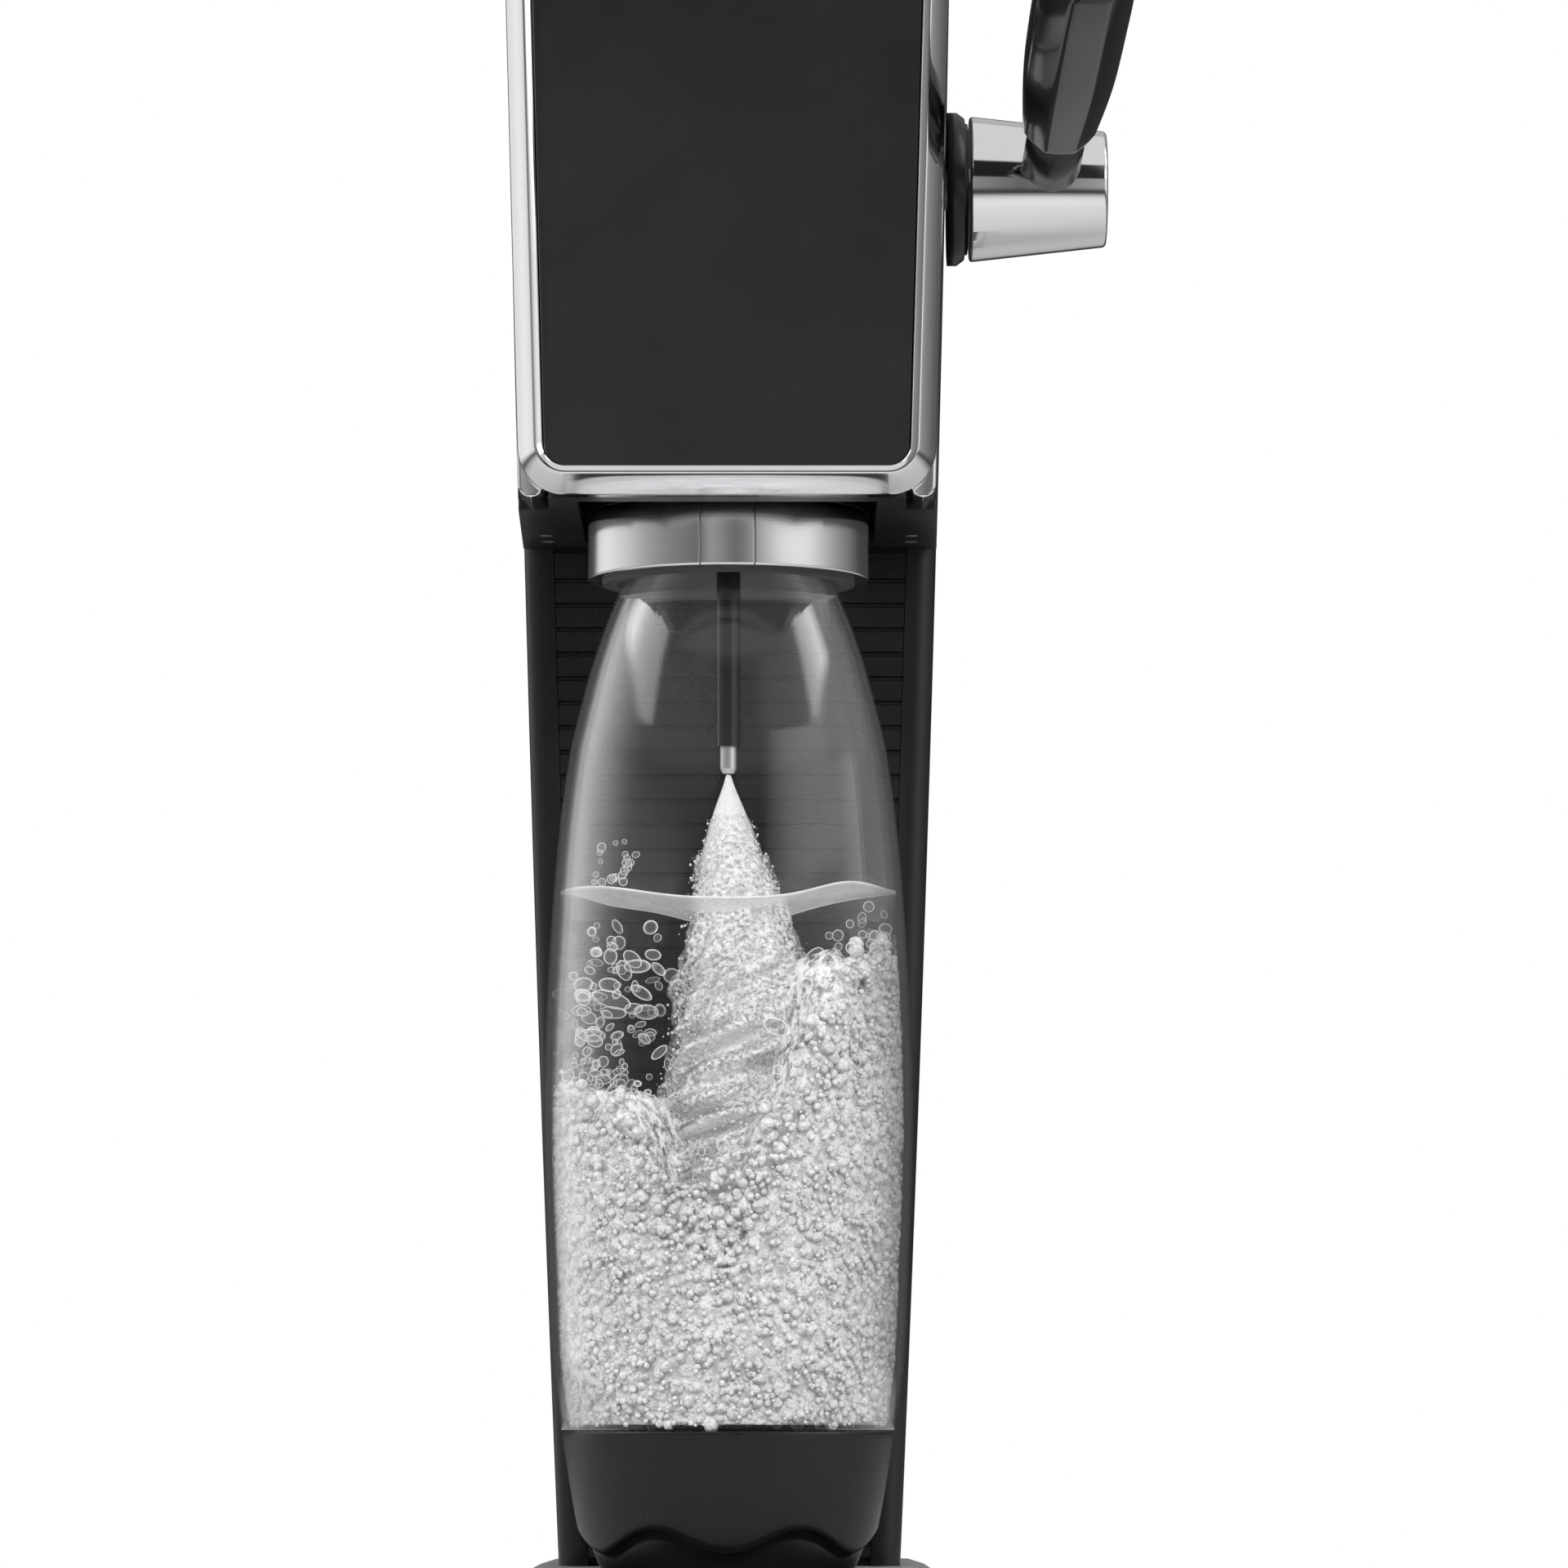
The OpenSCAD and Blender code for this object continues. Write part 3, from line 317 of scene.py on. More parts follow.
# %% Plastics, metals and rubber
body_black = finish("body_black", (0.008, 0.008, 0.0085), 0.34, grain=1600, bump=0.10, specular=0.35)
ribbed_black = finish("ribbed_black", (0.007, 0.007, 0.0075), 0.30, grain=1800, bump=0.08, specular=0.4)
gloss_panel = finish("gloss_panel", (0.0105, 0.0105, 0.011), 0.16, coat=0.5, grain=60, bump=0.01, vary=0.15)
bright_chrome = finish("bright_chrome", (0.86, 0.86, 0.87), 0.07, metal=1, grain=300, bump=0.004, shift=0.02)
brushed_chrome = finish("brushed_chrome", (0.80, 0.80, 0.81), 0.16, metal=1, grain=400, bump=0.03, shift=0.04,
                        stretch=(0.05, 1, 8))
base_silver = finish("base_silver", (0.60, 0.60, 0.61), 0.33, metal=0.75, grain=2600, bump=0.06, shift=0.05)
inner_plastic = finish("inner_plastic", (0.022, 0.022, 0.024), 0.42, grain=1200, bump=0.10)
cup_black = finish("cup_black", (0.006, 0.006, 0.0065), 0.30, grain=1500, bump=0.06, specular=0.35)
neck_grey = finish("neck_grey", (0.016, 0.016, 0.017), 0.30, grain=1400, bump=0.06)
gloss_grip = finish("gloss_grip", (0.007, 0.007, 0.008), 0.14, coat=0.35, grain=80, bump=0.01)
tray_grey = finish("tray_grey", (0.030, 0.030, 0.032), 0.36, grain=1100, bump=0.10)
button_black = finish("button_black", (0.030, 0.030, 0.033), 0.28, grain=1300, bump=0.06)
black_rubber = finish("black_rubber", (0.016, 0.016, 0.016), 0.72, grain=1400, bump=0.25)
hose_rubber = finish("hose_rubber", (0.030, 0.030, 0.032), 0.6, grain=700, bump=0.35)
zinc_steel = finish("zinc_steel", (0.56, 0.57, 0.60), 0.32, metal=1, grain=500, bump=0.05, stretch=(1, 1, 6))
screw_steel = finish("screw_steel", (0.50, 0.50, 0.52), 0.30, metal=1, grain=900, bump=0.08)
spring_steel = finish("spring_steel", (0.45, 0.45, 0.47), 0.26, metal=1, grain=1500, bump=0.05)
bush_plastic = finish("bush_plastic", (0.62, 0.57, 0.46), 0.5, grain=900, bump=0.06)
valve_brass = finish("valve_brass", (0.70, 0.50, 0.22), 0.24, metal=1, grain=700, bump=0.05, stretch=(1, 1, 9))
tube_black = finish("tube_black", (0.006, 0.006, 0.007), 0.12, coat=0.5, grain=300, bump=0.01)
nozzle_steel = finish("nozzle_steel", (0.55, 0.55, 0.56), 0.2, metal=1, grain=800, bump=0.04)
handle_pink = finish("handle_pink", (0.62, 0.05, 0.20), 0.28, grain=1100, bump=0.05, shift=0.06)
cylinder_enamel = finish("cylinder_enamel", (0.42, 0.43, 0.45), 0.30, metal=0.8, grain=1500, bump=0.06, shift=0.05)

# %% [markdown]
# ## Clear finishes
# The bottle stands in front of a black column, so what shows of it is its glare: the room reflected in the
# clear wall, faint face on and strong at the edges. Each clear finish is a polished surface that covers only
# a share of what is behind it. The share rises from one value, face on, to another at the rim. Noise on
# Object coordinates may break the share up, which makes spray and mist out of a closed surface.

# %% A helper for clear finishes


def clear(name, color, veil, rim, rough, rim_start=0.35, mirror=0.0, painted_glow=0.0, cloud=0.0, cloud_scale=80.0, bump=0.0,
          ripple=60.0):
    """The covered share goes from veil, face on, to rim, at the edge. mirror is how far the cover is a mirror. The
    glow value is painted light: a white emission that makes the cover shine with no lamp.
    """
    made, g = blank(name)
    place = g.add("ShaderNodeTexCoord", output="Object")
    mist = g.add("ShaderNodeTexNoise", Vector=place, Scale=cloud_scale, Detail=6.0, Roughness=0.65)
    waves = g.add("ShaderNodeTexNoise", Vector=place, Scale=ripple, Detail=3.0)
    facing = g.add("ShaderNodeLayerWeight", output="Facing", Blend=0.5)
    edge = g.ramp(facing, rim_start, 1.0, veil, rim)
    cover = g.math("MULTIPLY", edge, g.ramp(mist, 0.38, 0.62, 1.0 - cloud, 1.0))
    relief = g.add("ShaderNodeBump", Strength=bump, Distance=0.001, Height=waves)
    # painted light: the white emission set here makes the cover glow without a lamp
    skin = g.add("ShaderNodeBsdfPrincipled", Base_Color=(*color, 1), Roughness=rough, Alpha=cover, Metallic=mirror,
                 Emission_Color=(1, 1, 1, 1), Emission_Strength=painted_glow, Normal=relief)
    g.tree.links.new(skin, g.tree.nodes.new("ShaderNodeOutputMaterial").inputs[0])
    return made


clear_bottle = clear("clear_bottle", (0.95, 0.96, 0.97), 0.022, 0.55, 0.03, rim_start=0.14, mirror=0.96, bump=0.015)
water_body = clear("water_body", (0.60, 0.61, 0.62), 0.015, 0.18, 0.06, mirror=0.8, cloud=0.3)
# painted sheen: a pale, nearly opaque cover with a strong glow stands in for the shine of the water's top seen from
# below
water_skin = clear("water_skin", (0.62, 0.62, 0.63), 0.72, 0.80, 0.25, mirror=0.1, painted_glow=0.17, cloud=0.3,
                   cloud_scale=120, bump=0.6, ripple=110)
# the gas and the foam haze are white of their own; their small glow is painted light that brightens them
gas_white = clear("gas_white", (0.56, 0.56, 0.57), 1.0, 0.55, 0.9, rim_start=0.50, painted_glow=0.03, cloud=0.10,
                  cloud_scale=900, bump=0.6, ripple=500)
gas_grain = clear("gas_grain", (0.60, 0.60, 0.61), 0.92, 0.03, 0.9, rim_start=0.12, painted_glow=0.03, cloud=0.9,
                  cloud_scale=900, bump=0.5, ripple=700)
foam_haze = clear("foam_haze", (0.74, 0.74, 0.75), 0.75, 0.60, 0.8, painted_glow=0.05, cloud=1.0, cloud_scale=420, bump=0.6,
                  ripple=600)
# painted highlight: the rims are fully covered, pale and glowing, in place of the bright rim glints of clear bubbles
bubble_clear = clear("bubble_clear", (0.90, 0.91, 0.92), 0.04, 1.0, 0.10, rim_start=0.30, mirror=0.3, painted_glow=0.14)


# %% Foam


def foam(name, color, cells, painted_border_shade, painted_glow):
    """Each Voronoi cell swells like a ball: one minus the squared distance from its middle. Borders get painted
    shade, as between packed bubbles, and the glow value is a painted glow that lifts the shade.
    """
    made, g = blank(name)
    place = g.add("ShaderNodeTexCoord", output="Object")
    far = g.add("ShaderNodeTexVoronoi", Vector=place, Scale=cells)
    fine = g.add("ShaderNodeTexVoronoi", Vector=place, Scale=cells * 2.7)
    patch = g.add("ShaderNodeTexNoise", Vector=place, Scale=cells / 9, Detail=3.0)
    lump = g.math("SUBTRACT", 1.0, g.math("MULTIPLY", far, far))
    grain = g.math("SUBTRACT", 1.0, g.math("MULTIPLY", fine, fine))
    height = g.math("ADD", g.math("MULTIPLY", lump, 0.7), g.math("MULTIPLY", grain, 0.3))
    # painted shade: darker at the cell borders as if shaded between bubbles, mixed with random patches of tone
    light = g.math("ADD", g.ramp(height, 0.45, 0.92), g.ramp(patch, 0.35, 0.65, -0.25, 0.15))
    shade = g.add("ShaderNodeMix", output=2, set_data_type="RGBA", Factor=light,
                  _6=(*[c * painted_border_shade for c in color], 1), _7=(*color, 1))
    relief = g.add("ShaderNodeBump", Strength=0.7, Distance=0.5 / cells, Height=height)
    # painted glow: the shaded foam colour is also emitted, lifting its shade without a lamp
    skin = g.add("ShaderNodeBsdfPrincipled", Base_Color=shade, Roughness=0.45, Normal=relief,
                 Emission_Color=shade, Emission_Strength=painted_glow)
    g.tree.links.new(skin, g.tree.nodes.new("ShaderNodeOutputMaterial").inputs[0])
    return made


# the fourth value is the painted shade at the cell borders, the last the painted glow
foam_core = foam("foam_core", (0.60, 0.60, 0.61), 420, 0.62, 0.03)
foam_white = foam("foam_white", (0.60, 0.60, 0.61), 600, 0.72, 0.02)
foam_fine = foam("foam_fine", (0.64, 0.64, 0.65), 1500, 0.80, 0.03)
print("finishes:", len(bpy.data.materials))

# %% [markdown]
# ## The body's form
# The body narrows from the head to its foot in one gentle curve, and narrows a little from the column to the
# front. The same two rules shape every shell: the half width is a curve through three measured widths, and
# it shrinks by a fiftieth of the distance in front of the column.

# %% Half widths and heights
HEAD_LOW, HEAD_HIGH = span("head_floor")
TOP = span("head_top")[1][2]
BASE_TOP = span("column_housing")[0][2]
COLUMN_Y = span("column_face")[0][1]
COVER_Y = span("rear_cover")[0][1]
BACK_Y = span("rear_cover")[1][1]
FRAME_FRONT = span("chrome_frame")[0][1]
RAIL_BACK = span("chrome_frame")[1][1]
SHELL_FRONT = span("head_shell")[0][1]
HEAD_Z = HEAD_LOW[2]
WALL = 2.5
FOOT_HALF = 42.3
WAIST_HALF = HEAD_HIGH[0]
TOP_HALF = WAIST_HALF + 3.5
TAPER = 0.02


def side(z):
    """The parabola through the half widths at the foot, the waist and the top, as a function of height."""
    z0, z1, z2 = BASE_TOP, HEAD_Z, TOP
    return (FOOT_HALF * (z - z1) * (z - z2) / ((z0 - z1) * (z0 - z2))
            + WAIST_HALF * (z - z0) * (z - z2) / ((z1 - z0) * (z1 - z2))
            + TOP_HALF * (z - z0) * (z - z1) / ((z2 - z0) * (z2 - z1)))


def wide(z, y):
    """The half width at a height and a depth: side(z) less a fiftieth of the way in front of the column."""
    return side(z) - TAPER * np.maximum(COLUMN_Y - y, 0)


def corner(x, y, r, start, z, steps=8):
    """A quarter circle of radius r inside the corner (x, y), turning left from the start angle in degrees."""
    a = np.radians(start + np.linspace(0, 90, steps + 1))[None, :]
    cx = x - r * np.sign(np.cos(np.radians(start + 45)))
    cy = y - r * np.sign(np.sin(np.radians(start + 45)))
    return np.stack([cx[:, None] + r * np.cos(a), cy + r * np.sin(a) + 0 * cx[:, None],
                     z[:, None] + 0 * a], axis=-1)


def spot(x, y, z):
    """One point of the plan at every height."""
    return np.stack([x, y + 0 * x, z], axis=-1)[:, None, :]


def line(a, b, steps):
    """Points evenly between two columns of points, without the first and the last."""
    t = np.linspace(0, 1, steps + 1)[None, 1:-1, None]
    return a[:, -1:, :] * (1 - t) + b[:, :1, :] * t


print("half width at foot, waist and top:", FOOT_HALF, round(WAIST_HALF, 1), round(TOP_HALF, 1))

# %% [markdown]
# ## Column
# The column is one moulded shell, a U in plan that opens to the back, with a shallow recess in front for the
# grooved face. It is built as rows of the same plan at many heights, each row using the half width of its
# own height, so the sides follow the body's curve. A wall modifier gives the skin its thickness inwards.

# %% Column housing
FACE_INSET = 7.5


def heights(low, high, steps):
    return np.linspace(low, high, steps + 1)


z = heights(BASE_TOP, span("column_housing")[1][2], 60)
w = wide(z, COLUMN_Y)
back = COVER_Y - 0.4
recess = COLUMN_Y + 2.05
left = [corner(-w, COLUMN_Y, 5, 180, z), spot(-w + FACE_INSET, COLUMN_Y, z), spot(-w + FACE_INSET, recess, z)]
right = [spot(w - FACE_INSET, recess, z), spot(w - FACE_INSET, COLUMN_Y, z), corner(w, COLUMN_Y, 5, 270, z)]
row = [spot(-w, back, z), line(spot(-w, back, z), left[0], 14), *left, line(left[2], right[0], 10), *right,
       line(right[2], spot(w, back, z), 14), spot(w, back, z)]
column = surface("column_shell", np.concatenate(row, axis=1), body_black)
settle(column, "machine", "body_black", "column_housing", wall=WALL, bevel=0.5)
print("column shell:", len(column.data.polygons), "faces")

# %% [markdown]
# The grooves are cut straight across the face at an even pitch. Along the height the face's depth is a train
# of rounded notches: a raised cosine inside each groove and flat between them.

# %% Grooved face
PITCH, GROOVE_DEPTH, GROOVE_H = 6.15, 1.0, 1.3
low, high = span("column_face")
steps = 8
first = low[2] + 2.35
count = int((high[2] - 3 - first) // PITCH)
notch = np.array([0.0, 0.04, 0.25, 0.5, 0.75, 0.96, 1.0])
fall = np.array([0.0, 0.55, 1.0, 1.0, 1.0, 0.55, 0.0])
starts = first + PITCH * np.arange(count + 1)
z = np.concatenate([[low[2]], (starts[:, None] + GROOVE_H * notch).ravel(), [high[2]]])
depth = np.concatenate([[0], np.tile(fall, count + 1) * GROOVE_DEPTH, [0]])
half = side(z) - FACE_INSET - 0.15
x = np.linspace(-1, 1, 13)[None, :] * half[:, None]
front = np.stack([x, COLUMN_Y + depth[:, None] + 0 * x, z[:, None] + 0 * x], axis=-1)
rear = front[:, ::-1].copy()
rear[..., 1] = COLUMN_Y + 2
face = surface("grooved_face", np.concatenate([front, rear], axis=1), ribbed_black, round_v=True, cap=True,
               smooth=False)
settle(face, "machine", "ribbed_black", "column_face")
print("grooves:", count + 1)

# %% [markdown]
# ## Head
# The head is a second shell, a U that opens to the column. It steps in at the front, where the bright side
# rails lie on it. The floor keeps its CAD node. The cap closes head and column together and has a soft edge:
# its rows are the plan drawn in by d while the height rises along a quarter ellipse.

# %% Head shell
z = heights(span("head_shell")[0][2], span("head_shell")[1][2], 30)
w = wide(z, COLUMN_Y)
step_y = RAIL_BACK
ws = wide(z, step_y)
inner = ws - 7.4
left = [spot(-ws, step_y, z), spot(-inner, step_y, z), corner(-inner, SHELL_FRONT, 3, 180, z)]
right = [corner(inner, SHELL_FRONT, 3, 270, z), spot(inner, step_y, z), spot(ws, step_y, z)]
row = [spot(-w, COLUMN_Y - 0.05, z), line(spot(-w, COLUMN_Y, z), left[0], 14), *left, line(left[2], right[0], 8),
       *right, line(right[2], spot(w, COLUMN_Y, z), 14), spot(w, COLUMN_Y - 0.05, z)]
head = surface("head_skin", np.concatenate(row, axis=1), body_black)
settle(head, "machine", "body_black", "head_shell", wall=WALL, bevel=0.4)


# %% Rounded plans


def plan_ring(front_half, back_half, y0, y1, r_front, r_back, steps=10, along=12):
    """A closed rounded plan as x and y: four quarter circles joined by lines, with its own width at each end."""
    rows = []
    for sx, sy, start in ((-1, -1, 180), (1, -1, 270), (1, 1, 0), (-1, 1, 90)):
        half, r, y = (front_half, r_front, y0) if sy < 0 else (back_half, r_back, y1)
        a = np.radians(start + np.linspace(0, 90, steps + 1))
        rows.append(np.stack([sx * (half - r) + r * np.cos(a), y - sy * r + r * np.sin(a)], axis=-1))
    ring = []
    for k, arc in enumerate(rows):
        nxt = rows[(k + 1) % 4]
        t = np.linspace(0, 1, along + 1)[1:-1, None]
        ring += [arc, arc[-1] * (1 - t) + nxt[0] * t]
    return np.concatenate(ring)


# %% Cap
low, high = span("head_top")
thick = high[2] - low[2]
turn = np.radians(np.linspace(0, 90, 9))
drawn = np.concatenate([[0, 0], 4.5 * (1 - np.cos(turn)), [4.9, 7, 20, 38]])
rise = np.concatenate([[0, 0], 1.0 + (thick - 1.0) * np.sin(turn), [thick] * 4])
grid = [np.column_stack([plan_ring(wide(low[2], low[1]) - d, side(low[2]) - d, low[1] + d, high[1], max(3 - d, 0.4),
                                   0.6), np.full(4 * 11 + 4 * 11, low[2] + h)]) for d, h in zip(drawn, rise)]
cap = surface("head_cap", np.array(grid), body_black, round_v=True, cap=True)
settle(cap, "machine", "body_black", "head_top")
print("head skin and cap are made")

# %% [markdown]
# ## Bright frame and glossy panel
# The frame is a moulding with one section carried round a rounded trapezoid. The outline is a function of
# the inset: four corner arcs whose radius shrinks by the inset, joined by lines. The section climbs steeply
# from the outer back edge to a narrow ridge and falls gently to the panel. The climb's slope eases from 66 to
# 52 degrees, and its depth is the running sum of the slope's tangent.

# %% The frame's outline
CORNER_R = 11.5
LOW_HALF, HIGH_HALF = wide(HEAD_Z, FRAME_FRONT), wide(TOP, FRAME_FRONT)


def front_ring(inset, steps=14, along=10):
    """The rounded trapezoid drawn in by inset, as x and z, starting in the lower left corner."""
    r = CORNER_R - inset
    arcs = []
    for s, half, z, start in ((-1, LOW_HALF, HEAD_Z + CORNER_R, 180), (1, LOW_HALF, HEAD_Z + CORNER_R, 270),
                              (1, HIGH_HALF, TOP - CORNER_R, 0), (-1, HIGH_HALF, TOP - CORNER_R, 90)):
        a = np.radians(start + np.linspace(0, 90, steps + 1))
        arcs.append(np.stack([s * (half - CORNER_R) + r * np.cos(a), z + r * np.sin(a)], axis=-1))
    ring = []
    for k, arc in enumerate(arcs):
        t = np.linspace(0, 1, along + 1)[1:-1, None]
        ring += [arc, arc[-1] * (1 - t) + arcs[(k + 1) % 4][0] * t]
    return np.concatenate(ring)


def front_sweep(section):
    """Carries a section of (inset, depth) round the outline: one row for each point of the section."""
    return np.array([np.insert(front_ring(inset), 1, y, axis=1) for inset, y in section])


# %% Frame
FRAME_W = 6.2
slope = np.radians(np.linspace(66, 52, 9))
across = np.linspace(0.35, 4.05, 9)
fall = np.concatenate([[0], np.cumsum(np.tan((slope[1:] + slope[:-1]) / 2) * np.diff(across))])
outer = list(zip(across, FRAME_FRONT + 0.25 + fall[-1] - fall))
ridge = [(4.22, FRAME_FRONT + 0.08), (4.42, FRAME_FRONT), (4.62, FRAME_FRONT + 0.03)]
bevel_in = [(4.95, FRAME_FRONT + 0.14), (5.75, FRAME_FRONT + 0.46), (6.0, FRAME_FRONT + 0.62),
            (FRAME_W, FRAME_FRONT + 1.0)]
section = [(0, SHELL_FRONT), (0, outer[0][1] + 1.2), (0.08, outer[0][1] + 0.5), *outer, *ridge, *bevel_in,
           (FRAME_W, SHELL_FRONT)]
ring = surface("bright_frame", front_sweep(section), bright_chrome, round_u=True, round_v=True)
settle(ring, "machine", "bright_chrome", "chrome_frame")


# %% Side rails


def rail(name, s):
    """A bar along the head's side. Its section is a rounded box whose half thickness follows a circle at the foot."""
    t = FRAME_W / 2
    low, high = HEAD_Z, span("head_shell")[1][2]
    foot = np.radians(np.linspace(2, 90, 10))
    z = np.concatenate([low + t - t * np.cos(foot), heights(low + t + 6, high - 0.3, 16)])
    swell = np.concatenate([np.sin(foot), np.ones(17)]) * t
    middle = LOW_HALF + (HIGH_HALF - LOW_HALF) * (z - low) / (TOP - low) - t
    y0, y1, r = SHELL_FRONT - 0.5, RAIL_BACK, 1.0
    a = np.radians(np.add.outer([0, 90, 180, 270], np.linspace(0, 90, 7)).ravel())
    mid = np.repeat(np.radians([45, 135, 225, 315]), 7)
    yc = np.where(np.sin(mid) > 0, y1 - r, y0 + r) + r * np.sin(a)
    xc = np.sign(np.cos(mid)) * (1 - r / t) + (r / t) * np.cos(a)
    grid = np.stack([s * (middle[:, None] + swell[:, None] * xc), yc + 0 * z[:, None], z[:, None] + 0 * yc], axis=-1)
    piece = surface(name, grid, bright_chrome, round_v=True, cap=True)
    return settle(piece, "machine", "bright_chrome")


rail("left_rail", -1)
rail("right_rail", 1)

# %% Front panel
low, high = span("front_panel")
gap = FRAME_W + 0.15
section = [(gap, high[1]), (gap, low[1] + 0.5), (gap + 0.15, low[1] + 0.15), (gap + 0.5, low[1]),
           (gap + 0.8, low[1]), (gap + 3.0, low[1])]
panel = surface("front_glass", front_sweep(section), gloss_panel, round_v=True, cap=True)
settle(panel, "machine", "gloss_panel", "front_panel", bevel=0.0)
print("frame, rails and panel are made")

# %% [markdown]
# ## Rear cover
# The cover is a deep D in plan that slides off backwards. Round its release button the skin dips by a
# smooth step of the distance from the button's middle. Its top and bottom close towards the open edge.

# %% Cover
low, high = span("rear_cover")
button_low, button_high = span("cover_button")
button_z = (button_low[2] + button_high[2]) / 2
COVER_WALL = 2.2
r = 25.5
z = np.concatenate([heights(low[2], button_z - 15, 40)[:-1], heights(button_z - 15, button_z + 15, 30),
                    heights(button_z + 15, high[2] - 1.2, 6)[1:]])


def cover_row(z, inset, front):
    """The cover's plan at the heights z, drawn in by inset: from the left edge round the back to the right."""
    w, depth = side(z) - inset, BACK_Y - inset
    edge_l, edge_r = spot(-w, front, z), spot(w, front, z)
    arc_l = corner(-w, depth, r - inset, 90, z, 14)[:, ::-1]
    arc_r = corner(w, depth, r - inset, 0, z, 14)[:, ::-1]
    return np.concatenate([edge_l, line(edge_l, arc_l, 8), arc_l, line(arc_l, arc_r, 50), arc_r,
                           line(arc_r, edge_r, 8), edge_r], axis=1)


def dipped(row, depth, back):
    """Presses the skin in round the button: a smooth step of the distance from the button's middle."""
    far = np.hypot(row[..., 0], row[..., 2] - button_z)
    t = np.clip((12.5 - far) / 2.5, 0, 1)
    row[..., 1] -= np.where(row[..., 1] > back - 1, depth * t * t * (3 - 2 * t), 0)
    return row


outer = dipped(cover_row(z, 0, COVER_Y), 4.2, BACK_Y)
roof = [cover_row(np.array([high[2] - 1.2 + 1.2 * math.sin(k)]), 1.2 - 1.2 * math.cos(k), COVER_Y) for k in
        np.radians([25, 50, 75, 90])]
skins = np.concatenate([outer, *roof, cover_row(np.array([high[2]]), 4, COVER_Y)])
cover = surface("back_cover", skins, body_black)
settle(cover, "rear_cover", "body_black", "rear_cover", wall=COVER_WALL, turn=-1.0)
lids = []
for name, top in (("cover_roof", high[2] - 0.02), ("cover_floor", low[2] + 2.5)):
    reach = cover_row(np.array([top]), 1.3, COVER_Y + 0.02)[0]
    plate = np.stack([reach, reach - [0, 0, 2.2]])
    lid = surface(name, plate, body_black, round_v=True, cap=True, smooth=False)
    lids.append(settle(lid, "rear_cover", "body_black"))
print("rear cover:", len(cover.data.polygons), "faces")

# %% [markdown]
# ## Pedestal and drip tray
# The pedestal's top edge is a broad quarter circle. At every point its height depends only on d, the
# distance inside the plan's outline: full height less the circle's drop while d is under the radius. Two arms
# reach forward past the tray, and a deck carries the column.

# %% Pedestal
low, high = span("base_shell")
EDGE = 14.0
BASE_HALF, BASE_FRONT, BASE_BACK, BASE_LOW = high[0], low[1], high[1], low[2]
FRONT_H, BAY_HALF, BAY_BACK = 22.0, 51.0, COLUMN_Y - 2


def outline_x(y):
    """Half width of the pedestal's plan at a depth: straight, with a quarter circle at each end."""
    over = np.maximum(np.maximum(BASE_FRONT + EDGE - y, y - BASE_BACK + EDGE), 0)
    return BASE_HALF - EDGE + np.sqrt(np.maximum(EDGE**2 - over**2, 0))


def base_height(x, y):
    """Top of the pedestal: the level less the drop of a quarter circle over the distance from the outline."""
    over_x = np.maximum(np.abs(x) - (BASE_HALF - EDGE), 0)
    over_y = np.maximum(np.maximum(BASE_FRONT + EDGE - y, y - BASE_BACK + EDGE), 0)
    beyond = np.minimum(np.hypot(over_x, over_y), EDGE)
    level = FRONT_H + (BASE_TOP - FRONT_H) * np.clip((y - BASE_FRONT - EDGE) / (COLUMN_Y - BASE_FRONT - EDGE), 0, 1)
    return level - EDGE + np.sqrt(EDGE**2 - beyond**2)


def base_part(name, y, x_from, x_to):
    """Sections across the pedestal at depths y: over the top from x_from to x_to, and back along the bottom."""
    t = (1 - np.cos(np.linspace(0, math.pi, 25))) / 2
    x = x_from(y)[:, None] * (1 - t) + x_to(y)[:, None] * t
    top = np.stack([x, y[:, None] + 0 * x, np.maximum(base_height(x, y[:, None]), BASE_LOW + 1)], axis=-1)
    under = top[:, ::-1].copy()
    under[..., 2] = BASE_LOW
    piece = surface(name, np.concatenate([top, under], axis=1), base_silver, round_v=True, cap=True)
    return settle(piece, "machine", "base_silver", bevel=0.25)


ends = EDGE * (1 - np.cos(np.linspace(0.42, math.pi / 2, 14)))
arm_y = np.concatenate([BASE_FRONT + ends, heights(BASE_FRONT + EDGE + 3, BAY_BACK - 0.02, 24)])
deck_y = np.concatenate([heights(BAY_BACK, BASE_BACK - EDGE - 2, 24), (BASE_BACK - EDGE * (1 - np.cos(np.linspace(
    math.pi / 2, 0.02, 14))))])
base_part("left_arm", arm_y, lambda y: -outline_x(y), lambda y: -BAY_HALF + 0 * y)
base_part("right_arm", arm_y, lambda y: BAY_HALF + 0 * y, outline_x)
deck = base_part("base_deck", deck_y, lambda y: -outline_x(y), outline_x)
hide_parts("base_shell")

# %% Drip tray
low, high = span("drip_tray")
y0, y1 = low[1] + 0.05, high[1]


def tray_ring(d, z):
    """The tray's plan drawn in by d. Its front corners follow the pedestal's, less what the bay cuts off."""
    ring = plan_ring(high[0] - d, high[0] - d, y0 + d, y1 - d, max(12.5 - d, 1), max(3.5 - d, 0.6))
    return np.column_stack([ring, np.full(len(ring), z)])


section = [(1.5, low[2]), (0.5, low[2] + 0.4), (0.0, low[2] + 1.4), (0.0, high[2] - 1.0), (0.3, high[2] - 0.3),
           (1.0, high[2]), (1.6, high[2] - 0.3), (1.9, high[2] - 1.0), (2.6, low[2] + 5.5), (3.4, low[2] + 3.6),
           (5.5, low[2] + 2.7), (7.5, low[2] + 2.6)]
rows = [tray_ring(d, z) for d, z in section]
tray = surface("tray", np.array(rows), tray_grey, round_v=True, cap=True)
settle(tray, "drip_tray", "tray_grey", "drip_tray")
print("pedestal and tray are made")

